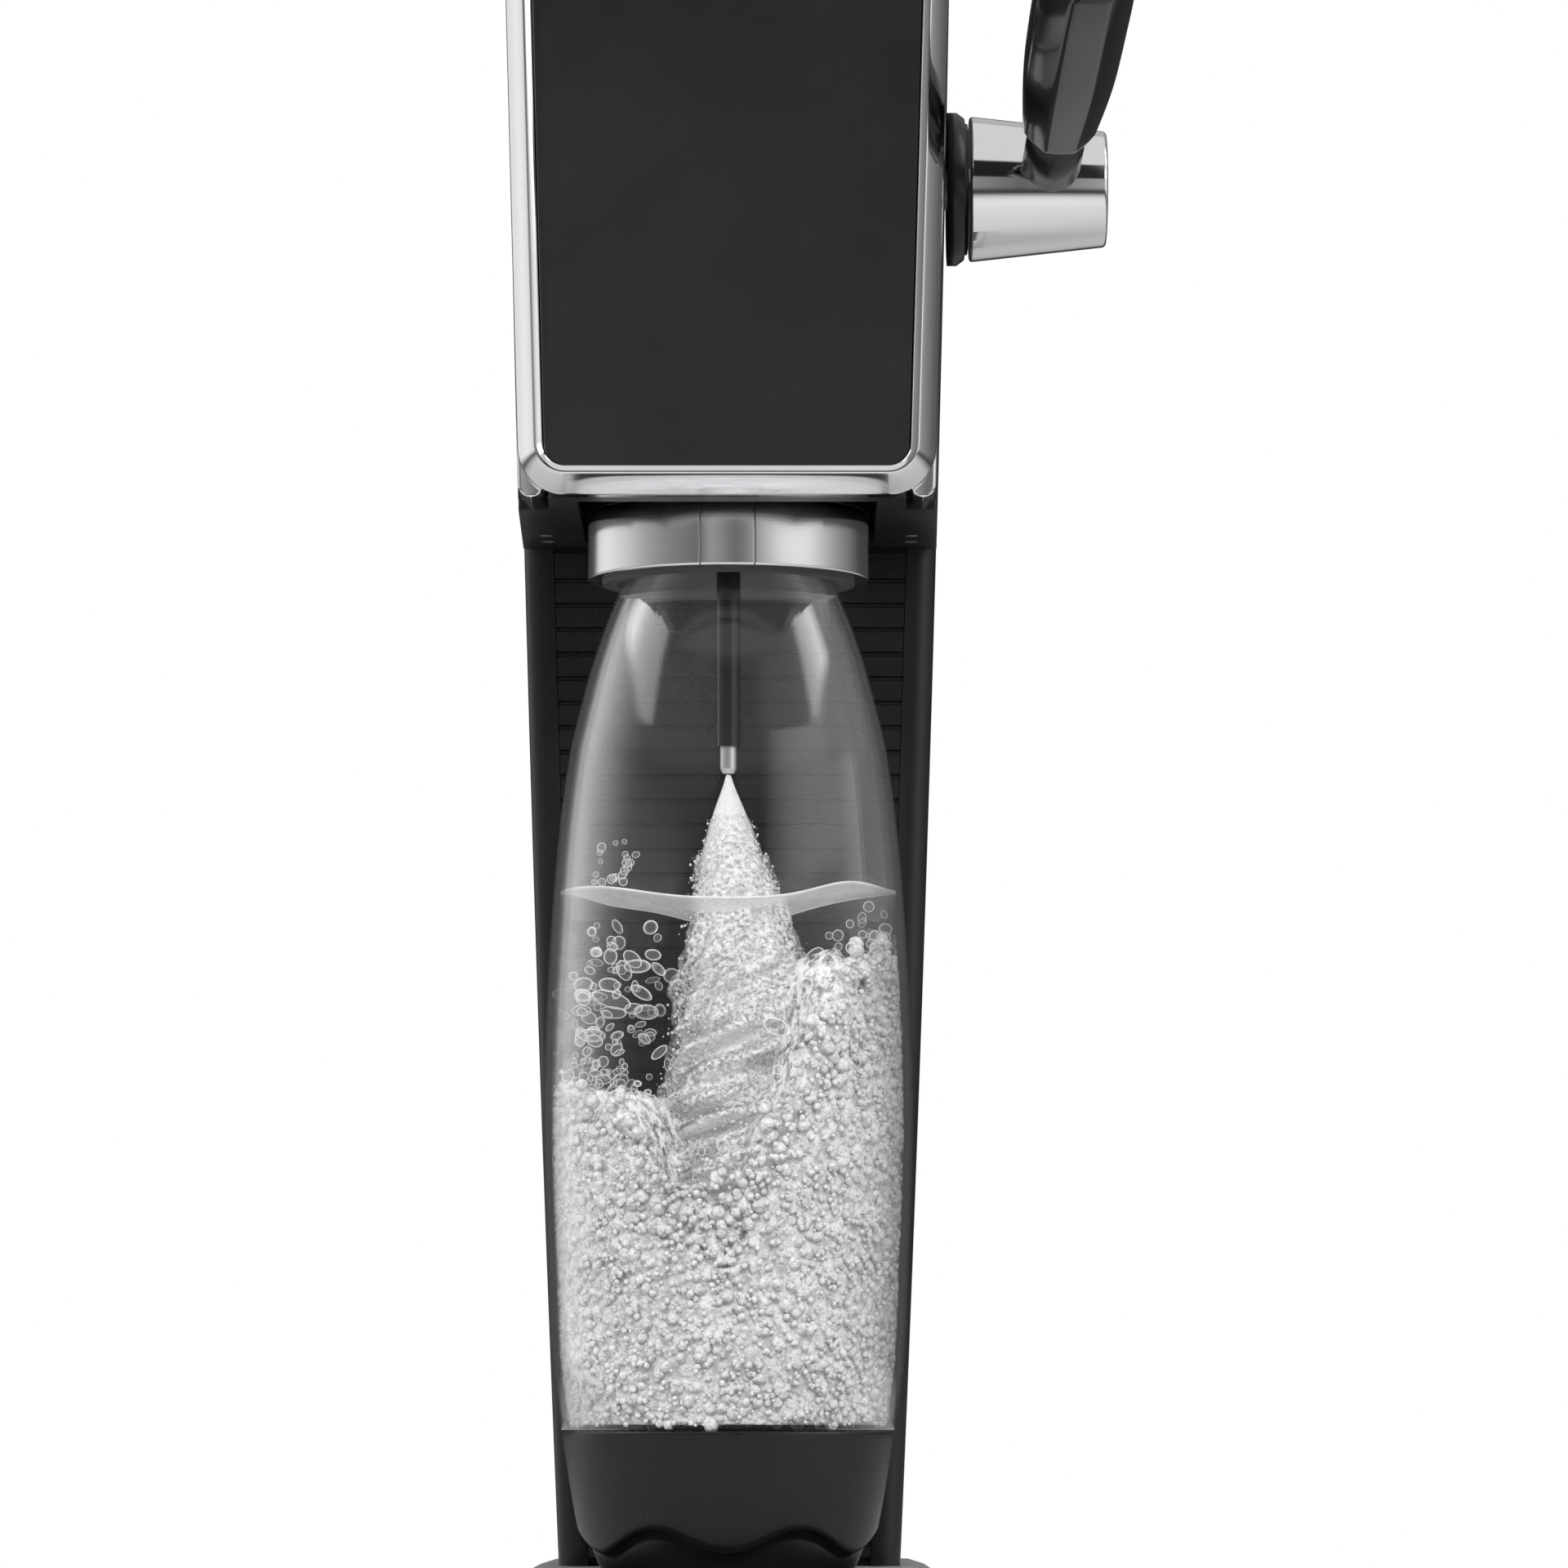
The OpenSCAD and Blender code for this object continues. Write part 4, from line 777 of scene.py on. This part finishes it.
# %% [markdown]
# ## Turned pieces
# The collar, bottle, hub and grip are turned shapes: a profile of radius and height carried round an axis.
# One function turns a closed or an open profile through any angle, and a frame of three directions sets the
# axis, so the same function makes the upright bottle, the level hub and the tilted grip.

# %% Turning a profile


def turned(profile, angles, origin=(0, 0, 0), axis=(0, 0, 1), first=(0, -1, 0)):
    """Point(u, v) = origin + height(v) axis + radius(v) (cos u first + sin u second), for profile rows (r, h)."""
    axis, first = np.array(axis, float), np.array(first, float)
    axis /= np.linalg.norm(axis)
    first -= axis * (first @ axis)
    first /= np.linalg.norm(first)
    second = np.cross(axis, first)
    r, h = np.array(profile, float).T
    a = np.asarray(angles)[:, None]
    out = np.cos(a)[..., None] * first + np.sin(a)[..., None] * second
    return np.array(origin, float) + r[None, :, None] * out + h[None, :, None] * axis


def full_turn(steps):
    return np.arange(steps) * TURN / steps


def arc_points(cx, cy, r, start, end, steps):
    """Points on an arc about (cx, cy), from the start to the end angle in degrees."""
    a = np.radians(np.linspace(start, end, steps + 1))
    return list(zip(cx + r * np.cos(a), cy + r * np.sin(a)))


def turned_solid(name, profile, material, body, slot, *replaced, steps=96, **axis):
    """A solid of revolution from an open profile that starts and ends near the axis."""
    grid = turned(profile, full_turn(steps), **axis).transpose(1, 0, 2)
    return settle(surface(name, grid, material, round_v=True, cap=True), body, slot, *replaced)


# %% Collar ring and release tab
low, high = span("collar_ring")
R, z0, z1 = high[0], low[2], high[2]
TAB_HALF = math.asin(6.7 / R)
inner = R - 3.5
loop = [(inner, z0), (inner + 0.3, z0 - 0.0), *arc_points(R - 0.6, z0 + 0.6, 0.6, -90, 0, 4),
        *arc_points(R - 1.7, z1 - 1.7, 1.7, 0, 90, 8), (inner, z1)]
a = np.linspace(TAB_HALF, TURN - TAB_HALF, 150)
ring = surface("collar", turned(loop, a), brushed_chrome, round_v=True, cap=True)
settle(ring, "bottle_holder", "bright_chrome", "collar_ring", bevel=0.2)
a = np.linspace(-TAB_HALF + 0.006, TAB_HALF - 0.006, 17)
tab = surface("release_tab", turned([(r - 0.12, z) for r, z in loop], a), brushed_chrome, round_v=True, cap=True)
settle(tab, "bottle_holder", "bright_chrome", "collar_tab", bevel=0.2)
print("collar radius:", round(R, 1))

# %% [markdown]
# ## Bottle
# The bottle's side is one smooth curve through a few chosen points, each the share of the bottle's height
# and the share of the way from neck radius to belly radius. The curve between points is a Catmull-Rom cubic.
# The same curve drawn in by the wall is the inside, so the light crosses a real wall of clear plastic.

# %% The bottle's curve
BOTTLE_CURVE = np.array([[0.145, 0.85], [0.205, 0.925], [0.28, 0.957], [0.36, 0.986], [0.435, 1], [0.50, 0.986],
                         [0.57, 0.957], [0.635, 0.92], [0.70, 0.868], [0.755, 0.803], [0.79, 0.743], [0.86, 0.575],
                         [0.918, 0.375], [0.955, 0.16], [0.975, 0.035], [0.985, 0]])
BOTTLE_WALL, CUP_WALL = 1.5, 1.7
belly = span("bottle_shell")[1][0]
BOTTLE_LOW, BOTTLE_TOP = span("bottle_cup")[0][2], span("bottle_shell")[1][2]
CUP_TOP = span("bottle_cup")[1][2]
NECK = 15.5


def catmull(points, steps):
    """The cubic through each pair of points whose end slopes are half the step between their neighbours."""
    p = np.vstack([points[:1], points, points[-1:]])
    t = np.linspace(0, 1, steps, endpoint=False)[None, :, None]
    a, b, c, d = (p[k:len(p) - 3 + k, None, :] for k in range(4))
    q = 0.5 * (2 * b + (c - a) * t + (2 * a - 5 * b + 4 * c - d) * t**2 + (3 * b - a - 3 * c + d) * t**3)
    return np.vstack([q.reshape(-1, points.shape[1]), points[-1:]])


curve = catmull(BOTTLE_CURVE, 8)
side_r = NECK + (belly - NECK) * np.minimum(curve[:, 1], 1)
side_z = BOTTLE_LOW + (BOTTLE_TOP - BOTTLE_LOW) * curve[:, 0]


def bottle_radius(z):
    return np.interp(z, side_z, side_r)


# %% Bottle shell
above = side_z > CUP_TOP + 0.8
outer = np.column_stack([side_r, side_z])[above]
seat = bottle_radius(CUP_TOP) - CUP_WALL - 0.6
bowl = arc_points(0, 0, 1, -88, 0, 14)
outside = [(seat * x, CUP_TOP + (CUP_TOP - BOTTLE_LOW - 8) * y) for x, y in bowl]
ledge = [(seat, CUP_TOP + 0.35), (bottle_radius(CUP_TOP + 0.4) - 0.2, CUP_TOP + 0.35)]
lip = [*arc_points(NECK - 0.75, BOTTLE_TOP - 0.75, 0.75, 0, 180, 8)]
inside_r = np.interp(np.linspace(BOTTLE_TOP - 3, CUP_TOP + 3, 90), side_z, side_r) - BOTTLE_WALL
inside = list(zip(inside_r, np.linspace(BOTTLE_TOP - 3, CUP_TOP + 3, 90)))
bowl_in = [((seat - BOTTLE_WALL) * x, CUP_TOP + (CUP_TOP - BOTTLE_LOW - 9.5) * y) for x, y in bowl[::-1]]
profile = [*outside, *ledge, *outer.tolist(), *lip, *inside, *bowl_in]
bottle = turned_solid("bottle", profile, clear_bottle, "bottle", "clear_bottle", "bottle_shell", steps=128)
print("bottle:", len(bottle.data.polygons), "faces, belly radius", round(belly, 1))

# %% [markdown]
# ## Bottle cup
# The black cup hides the bottle's round foot. Its skirt ends in six shallow waves: the height of the lower
# edge is a cosine of six times the angle. Behind the skirt a narrower foot goes down to the tray.

# %% Cup
waves = full_turn(144)
skirt_z = BOTTLE_LOW + 11.3 - 2.8 * np.cos(6 * waves)
foot_curve = catmull(np.array([[0, 0.47], [0.08, 0.56], [0.24, 0.71], [0.57, 0.86], [1, 1]]), 8)
cup_r = (bottle_radius(CUP_TOP + 1) - 0.3) * (0.55 + 0.45 * foot_curve[:, 1])
cup_z = BOTTLE_LOW + (CUP_TOP - BOTTLE_LOW) * foot_curve[:, 0]
t = np.linspace(0, 1, 15)[:, None]
down_z = CUP_TOP - 0.6 - (CUP_TOP - 0.6 - skirt_z) * t
skirt = np.stack([np.interp(down_z, cup_z, cup_r), down_z], axis=-1)
edge_r, edge_z = skirt[-1, :, 0], skirt[-1, :, 1]


def band(r, z):
    return np.stack([r + 0 * waves, z + 0 * waves], axis=-1)[None]


foot_z = np.linspace(0, 1, 6)[:, None]
recess_z = edge_z - 0.2 - (edge_z - 0.2 - BOTTLE_LOW - 0.8) * foot_z
foot = np.stack([np.interp(recess_z, cup_z, cup_r) - 2.3, recess_z], axis=-1)
rows = np.concatenate([band(cup_r[-1] - CUP_WALL, CUP_TOP - 0.3), band(cup_r[-1] - 1.1, CUP_TOP),
                       band(cup_r[-1] - 0.5, CUP_TOP), band(cup_r[-1] - 0.1, CUP_TOP - 0.25), skirt,
                       band(edge_r - 0.35, edge_z - 0.35), band(edge_r - 1.2, edge_z - 0.35), foot,
                       band(foot[-1, :, 0] - 1.2, BOTTLE_LOW)])
grid = np.stack([rows[..., 0] * np.sin(waves), -rows[..., 0] * np.cos(waves), rows[..., 1]], axis=-1)
cup = surface("cup", grid, cup_black, round_v=True, cap=True)
settle(cup, "bottle", "cup_black", "bottle_cup")
print("cup skirt edge from", round(skirt_z.min(), 1), "to", round(skirt_z.max(), 1))

# %% [markdown]
# ## Lever
# The hub is a bright cone with a soft rim round a slightly sunk end. The neck and grip leave it at a slant:
# up from the level, towards the user, and a little away from the head. The grip swells towards its end and
# has faint flats along it, which break its reflections into long bands: the radius is divided by the cosine
# of the angle from the middle of each flat, mixed with the plain circle.

# %% Hub
axis_y, AXIS_Z = 0.0, span("lever_shaft")[0][2] + 5
low, high = span("lever_hub")
cap_high = span("hub_end_cap")[1]
HUB_R, END_R = high[2] - AXIS_Z, cap_high[2] - AXIS_Z
x0, x1 = low[0], cap_high[0]
hub_axis = dict(origin=(0, axis_y, AXIS_Z), axis=(1, 0, 0), first=(0, 0, 1))
profile = [(1, x0), (HUB_R - 0.8, x0), *arc_points(HUB_R - 0.8, x0 + 0.8, 0.8, -90, 0, 4),
           *arc_points(END_R - 0.9, x1 - 1.1, 1.1, 6, 90, 6), (END_R - 1.9, x1 - 0.35), (END_R - 2.4, x1 - 0.9),
           (END_R - 3.2, x1 - 1.0), (1, x1 - 0.7)]
turned_solid("hub", profile, bright_chrome, "lever", "bright_chrome", "lever_hub", "hub_end_cap", **hub_axis)

# %% Flange
low, high = span("hub_flange")
r, x1 = high[2] - AXIS_Z, high[0]
profile = [(6.5, low[0] + 1), (r, low[0] + 1), (r, x1 - 2.7), *arc_points(r - 1.9, x1 - 1.6, 0.9, 30, 90, 5),
           (r - 2.6, x1 - 0.6), (r - 2.8, x1), (8.2, x1), (8.2, low[0] + 1.5)]
turned_solid("side_flange", profile, body_black, "machine", "body_black", "hub_flange", **hub_axis)

# %% Neck and grip
RISE, LEAN = math.radians(15), math.radians(2.6)
LEVER_X = span("lever_hub")[0][0] + 19
way = np.array([math.sin(LEAN), -math.cos(LEAN) * math.cos(RISE), math.cos(LEAN) * math.sin(RISE)])
lever_axis = dict(origin=(LEVER_X, 0, AXIS_Z), axis=way, first=(0, 0.25, 1))
GRIP_FROM, GRIP_TO, GRIP_R, NECK_R = 36.0, 129.0, 11.9, 7.3
profile = [(1, 6), (NECK_R - 0.2, 6), (NECK_R - 0.2, GRIP_FROM - 1.5), (NECK_R - 0.9, GRIP_FROM - 1.2),
           (NECK_R - 0.9, GRIP_FROM + 2), (1, GRIP_FROM + 2)]
turned_solid("neck", profile, neck_grey, "lever", "neck_grey", "lever_neck", **lever_axis)
profile = np.array([(1, GRIP_FROM), *arc_points(GRIP_R - 6.2, GRIP_FROM + 3.6, 3.6, -90, 0, 8),
                    *[(GRIP_R - 2.6 + 2.3 * math.sin(k * math.pi / 20), GRIP_FROM + 3.6 + 42 * k / 10) for k in
                      range(1, 10)],
                    (GRIP_R - 0.2, GRIP_FROM + 50), (GRIP_R, GRIP_FROM + 70),
                    *arc_points(GRIP_R - 6, GRIP_TO - 6, 6, 0, 88, 10)])
grid = turned(profile, full_turn(96), **lever_axis)
flats = 8
within = (full_turn(96) + math.pi / flats) % (TURN / flats) - math.pi / flats
squeeze = 1 - 0.55 * (1 - math.cos(math.pi / flats) / np.cos(within))
centre = np.array(lever_axis["origin"]) + profile[None, :, 1, None] * way
grid = centre + (grid - centre) * squeeze[:, None, None]
grip = surface("grip", grid.transpose(1, 0, 2), gloss_grip, round_v=True, cap=True)
settle(grip, "lever", "gloss_grip", "lever_grip")
print("hub, flange, neck and grip are made")

# %% [markdown]
# ## Water and gas
# The bottle holds water that the jet is stirring. The water's side is the inside of the bottle drawn in by a
# hair, and its top is a swell: a cosine wave that is low in the middle, with a slanting ripple on it. The top is
# seen from below and shines, so it is a piece of its own, brighter than the water under it. That shine is a
# painted sheen: a pale, nearly opaque cover with a painted glow, not a reflection of the room.

# %% Water
LEVEL = 190.5
SKIN = 0.35


def swell(x, y):
    """Height of the surface: one cosine wave across the bottle, low in the middle, and a slanting ripple."""
    return LEVEL + 2.5 * (1 - np.cos((x + 1) / 11.5)) + 0.5 * np.sin(x / 6.1 + y / 9.0)


bed = [((seat - BOTTLE_WALL - SKIN) * x, CUP_TOP + (CUP_TOP - BOTTLE_LOW - 10.2) * y) for x, y in bowl]
levels = np.linspace(CUP_TOP + 3, LEVEL - 4, 60)
side_line = list(zip(bottle_radius(levels) - BOTTLE_WALL - SKIN, levels))
around = full_turn(96)
grid = turned([*bed, *side_line], around).transpose(1, 0, 2)
top_r = bottle_radius(LEVEL + 2) - BOTTLE_WALL - SKIN
shrink = np.concatenate([np.linspace(1, 0.04, 18)])[:, None]
x, y = top_r * shrink * np.sin(around), -top_r * shrink * np.cos(around)
surface_rows = np.stack([x, y, swell(x, y)], axis=-1)
water = surface("water", np.concatenate([grid, surface_rows]), water_body, round_v=True, cap=True)
settle(water, "bottle", "clear_bottle")
sheet_low = surface_rows.copy()
sheet_low[..., 2] -= 0.45
grid = np.concatenate([surface_rows[::-1] + [0, 0, 0.05], sheet_low - [0, 0, 0.05]])
water.visible_shadow = bottle.visible_shadow = False
water_top = surface("water_top", grid, water_skin, round_v=True, cap=True)
water_top.visible_shadow = False
settle(water_top, "bottle", "clear_bottle")
print("water level at", LEVEL, "mm")

# %% [markdown]
# ## The jet
# Gas leaves the nozzle as a narrow white cone that grows ragged as it falls and spreads into a cloud. The
# cone's radius follows the depth below the tip, and sums of sines with unlike periods push its side in and
# out. Each layer is a closed surface: a dense core inside and a thin veil round it.

# %% A ragged cone
TIP_Z = span("nozzle_tip")[0][2]


def ragged(a, z, seed, size, fine):
    """A sum of sines of the angle and the height, with phases from the seed: size long waves, fine short."""
    rng = np.random.default_rng(seed)
    total = np.zeros(np.broadcast(a, z).shape)
    for k in range(9):
        turns = rng.integers(1, 7) * (1 + k // 3)
        rate = rng.uniform(0.10, 0.35) * (1 + k)
        phase = rng.uniform(0, 6.3)
        total += np.sin(turns * a + rate * z + phase) * (size if k < 4 else fine) / (1 + 0.35 * k)
    return total


def plume(name, depths, radii, shift, material, seed, rough):
    """A closed jet: radius and drift interpolated down the depth below the tip, the side made ragged."""
    d = np.linspace(depths[0], depths[-1], 190)[:, None]
    a = full_turn(90)[None, :]
    r = np.interp(d, depths, radii)
    r = r * (1 + rough * np.minimum(d / 60, 1) * ragged(a, d, seed, 0.24, 0.06))
    x = r * np.sin(a) + np.interp(d, JET_DEPTH, JET_DRIFT) * shift
    grid = np.stack([x, -r * np.cos(a), TIP_Z - d + 0 * a], axis=-1)
    piece = surface(name, grid, material, round_v=True, cap=True)
    return settle(piece, "bottle_holder", "clear_bottle")


JET_DEPTH = [0, 12, 24, 35, 43, 53, 72, 94, 114, 140]
JET_DRIFT = [0, 0.4, 1.2, 2.4, 3.6, 5.0, 7.0, 6.0, 4.0, 1.0]
JET_RADIUS = [0.5, 5.2, 8.8, 10.6, 12.4, 15.2, 19.5, 24, 27, 24]
plume("jet_core", [0.1, 3, 12, 24, 35, 43, 53, 72, 94, 125], [0.5, 1.4, 4.9, 7.9, 9.2, 10.6, 13, 17, 22, 22], 0.8,
      gas_white, 3, 0.22)
plume("jet_cloud", [8, *JET_DEPTH[1:]], [3.0, *JET_RADIUS[1:]], 1.0, gas_grain, 8, 0.30)
plume("jet_veil", [20, *JET_DEPTH[3:]], [9.0, *[k * 1.13 for k in JET_RADIUS[3:]]], 1.05, gas_grain, 9, 0.38)
print("jet from", round(TIP_Z, 1), "mm down")

# %% [markdown]
# ## Bubbles
# Thousands of bubbles share one small ball of a few dozen faces. Whole arrays of places and sizes are drawn
# from a seeded generator, and every ball is written into one mesh by adding each place to the ball's points.
# Sizes lean towards small ones, and a stretch along a random slant keeps them from looking like beads.
# Behind the balls, two closed bodies of foam follow the wall, so that the foam is white all through: a
# dense one low down and a thin haze up to the foam's edge.

# %% Balls by the thousand


def ball(rings, sides):
    """A unit ball of a few faces: points on circles of latitude, and a point at each pole."""
    lat = np.linspace(-math.pi / 2, math.pi / 2, rings + 2)[1:-1]
    lon = full_turn(sides)
    body = np.stack([np.cos(lat)[:, None] * np.cos(lon), np.cos(lat)[:, None] * np.sin(lon),
                     np.sin(lat)[:, None] + 0 * lon], axis=-1).reshape(-1, 3)
    points = np.vstack([body, [0, 0, -1], [0, 0, 1]])
    v = np.arange(sides)
    w = (v + 1) % sides
    low = np.stack([np.full(sides, rings * sides), w, v], axis=1)
    high = np.stack([np.full(sides, rings * sides + 1), (rings - 1) * sides + v, (rings - 1) * sides + w], axis=1)
    return points, grid_faces(rings, sides, round_v=True), np.vstack([low, high])


def bubbles(name, centres, radii, material, body, seed, stretch=0.25, rings=3, sides=7, flat=1.0):
    """One mesh of many balls. Each is stretched along a random direction, more level where flat is under one."""
    points, quads, tris = ball(rings, sides)
    rng = np.random.default_rng(seed)
    way = rng.normal(size=(len(centres), 3)) * [1, 1, flat]
    way /= np.linalg.norm(way, axis=1, keepdims=True)
    along = points @ way.T
    pull = rng.uniform(0, stretch, len(centres))
    shaped = points[None] + (along.T * pull[:, None])[..., None] * way[:, None, :]
    placed = (centres[:, None, :] + shaped * radii[:, None, None]).reshape(-1, 3)
    jump = (np.arange(len(centres)) * len(points))[:, None, None]
    piece = add_mesh(name, placed, (quads[None] + jump).reshape(-1, 4), (tris[None] + jump).reshape(-1, 3),
                     material=material)
    print(name, len(centres), "bubbles")
    return settle(piece, body, "clear_bottle")


def against_wall(rng, count, z_low, z_high, radii, depth, weight=None):
    """Places just inside the bottle: an angle, a height, and a distance in from the wall up to depth."""
    z = rng.uniform(z_low, z_high, count * 4)
    a = rng.uniform(-math.pi, math.pi, count * 4)
    if weight is not None:
        keep = rng.uniform(0, 1, count * 4) < weight(a, z)
        z, a = z[keep], a[keep]
    z, a = z[:count], a[:count]
    size = radii(rng, len(z))
    r = bottle_radius(z) - BOTTLE_WALL - 0.6 - size - depth * rng.uniform(0, 1, len(z)) ** 1.5
    return np.stack([r * np.sin(a), -r * np.cos(a), z], axis=-1), size


SMALL_BIAS = 2.2


def small_first(low, high):
    """Radii from low to high in millimetres: an even draw to the power SMALL_BIAS makes large ones rare."""
    return lambda rng, n: low + (high - low) * rng.uniform(0, 1, n) ** SMALL_BIAS


# %% Foam against the wall
FOAM_EDGE = np.array([[-1.0, 153], [-0.6, 148], [-0.38, 132], [0.0, 130], [0.35, 152], [0.60, 180],
                      [1.0, 186]])


def foam_top(a):
    """Height of the foam's edge at an angle: straight lines across the bottle, higher on the right."""
    return np.interp(np.sin(a), FOAM_EDGE[:, 0], FOAM_EDGE[:, 1])


def foam_share(a, z):
    """How likely foam is at an angle and a height: it thins out below the foam's edge."""
    return np.clip((foam_top(a) - z) / 20, 0.0, 1.0)


def foam_wall(name, drop, gap, material, seed):
    """A closed body of foam: its top follows the edge, made ragged, and its side the wall, drawn in by the gap."""
    a = full_turn(180)[None, :]
    t = np.linspace(0, 1, 120)[:, None]
    crest = foam_top(a) - drop + 3.5 * ragged(a * 2, 0 * a, seed, 0.7, 0.5)
    z = CUP_TOP + 1.6 + (crest - CUP_TOP - 1.6) * t
    r = bottle_radius(z) - BOTTLE_WALL - gap - 0.35 * (1 + ragged(a * 3, z, seed + 1, 0.5, 0.15)) - 5 * t**30
    rim = np.stack([r * np.sin(a), -r * np.cos(a), z], axis=-1)
    lid = rim[-1:] * [0.6, 0.6, 1] - [0, 0, 3]
    piece = surface(name, np.concatenate([rim, lid]), material, round_v=True, cap=True)
    return settle(piece, "bottle", "clear_bottle")


foam_wall("foam_body", 22, 1.9, foam_core, 31)
foam_wall("foam_edge", 8, 2.4, foam_haze, 41)
rng = np.random.default_rng(11)
places, sizes = against_wall(rng, 4400, CUP_TOP + 1.5, 190, small_first(0.7, 2.1), 1.9, foam_share)
bubbles("foam", places, sizes, foam_white, "bottle", 12)
places, sizes = against_wall(rng, 4200, CUP_TOP + 1.5, 192, small_first(0.3, 0.9), 1.6, foam_share)
bubbles("fine_foam", places, sizes, foam_fine, "bottle", 13, rings=2, sides=6)
places, sizes = against_wall(rng, 520, 120, 192, small_first(0.5, 1.5), 5.0,
                             lambda a, z: np.clip((foam_top(a) + 12 - z) / 20, 0, 1))
bubbles("loose_bubbles", places, sizes, bubble_clear, "bottle", 14, stretch=0.6, rings=5, sides=10)
places, sizes = against_wall(rng, 170, 142, 186, small_first(0.7, 2.1), 4.0,
                             lambda a, z: np.where((np.sin(a) < -0.45) & (np.sin(a) > -0.93), 0.9, 0.06))
bubbles("long_bubbles", places, sizes, bubble_clear, "bottle", 17, stretch=1.7, rings=7, sides=12, flat=0.35)
count = 22
across, along, up = [rng.uniform(low, high, count) for low, high in ((-33, -22), (-26, -12), (195, 206))]
places = np.stack([across, along, up], axis=-1)
bubbles("splash", places, rng.uniform(0.4, 1.2, count), bubble_clear, "bottle", 15, rings=5, sides=10)

# %% Spray round the jet
count = 6000
d = rng.uniform(0, 1, count) ** 0.7 * 100 + 10
a = rng.uniform(0, TURN, count)
r = np.interp(d, JET_DEPTH, JET_RADIUS) * (1.0 + 0.13 * rng.normal(size=count).clip(-1.5, 2.4))
places = np.stack([r * np.sin(a) + np.interp(d, JET_DEPTH, JET_DRIFT), -r * np.cos(a), TIP_Z - d], axis=-1)
bubbles("spray", places, 0.13 + 0.33 * rng.uniform(0, 1, count) ** 2, foam_fine, "bottle_holder", 16, rings=2,
        sides=5)

# %% [markdown]
# ## Floor and carried-over parts
# The floor is a round pale table top that fades away with the distance from its middle, so no edge shows in
# front of the white backdrop. The CAD nodes that stay get the finish that their slot names.

# %% Floor
pale_floor = finish("pale_floor", (0.45, 0.45, 0.45), 0.55, grain=500, bump=0.02, shift=0.01, vary=0.04)
g = Graph(pale_floor.node_tree)
from_middle = g.add("ShaderNodeVectorMath", output=1, set_operation="LENGTH",
                    _0=g.add("ShaderNodeTexCoord", output="Object"))
skin = next(n for n in pale_floor.node_tree.nodes if n.type == "BSDF_PRINCIPLED")
g.tree.links.new(g.ramp(from_middle, 0.55, 1.45, 1.0, 0.0), skin.inputs["Alpha"])
radii = np.array([20, 60, 120, 250, 500, 900, 1300, 1500])[:, None]
a = full_turn(96)[None, ::-1]
grid = np.stack([radii * np.cos(a), radii * np.sin(a), -0.02 + 0 * radii * a], axis=-1)
floor = surface("floor", np.concatenate([grid[:1] * [0.01, 0.01, 1], grid]), pale_floor, round_v=True)

# %% CAD nodes
slots = {row["node"]: row["material_slot"] for row in frame["record"]["subparts"]}
finishes = {m.name: m for m in bpy.data.materials}
finishes["body_black"] = body_black
for name, obj in frame["nodes"].items():
    obj.data.materials.clear()
    obj.data.materials.append(finishes[slots[name]])
print("CAD nodes finished:", len(frame["nodes"]))

# %% [markdown]

# %% Finish
import json
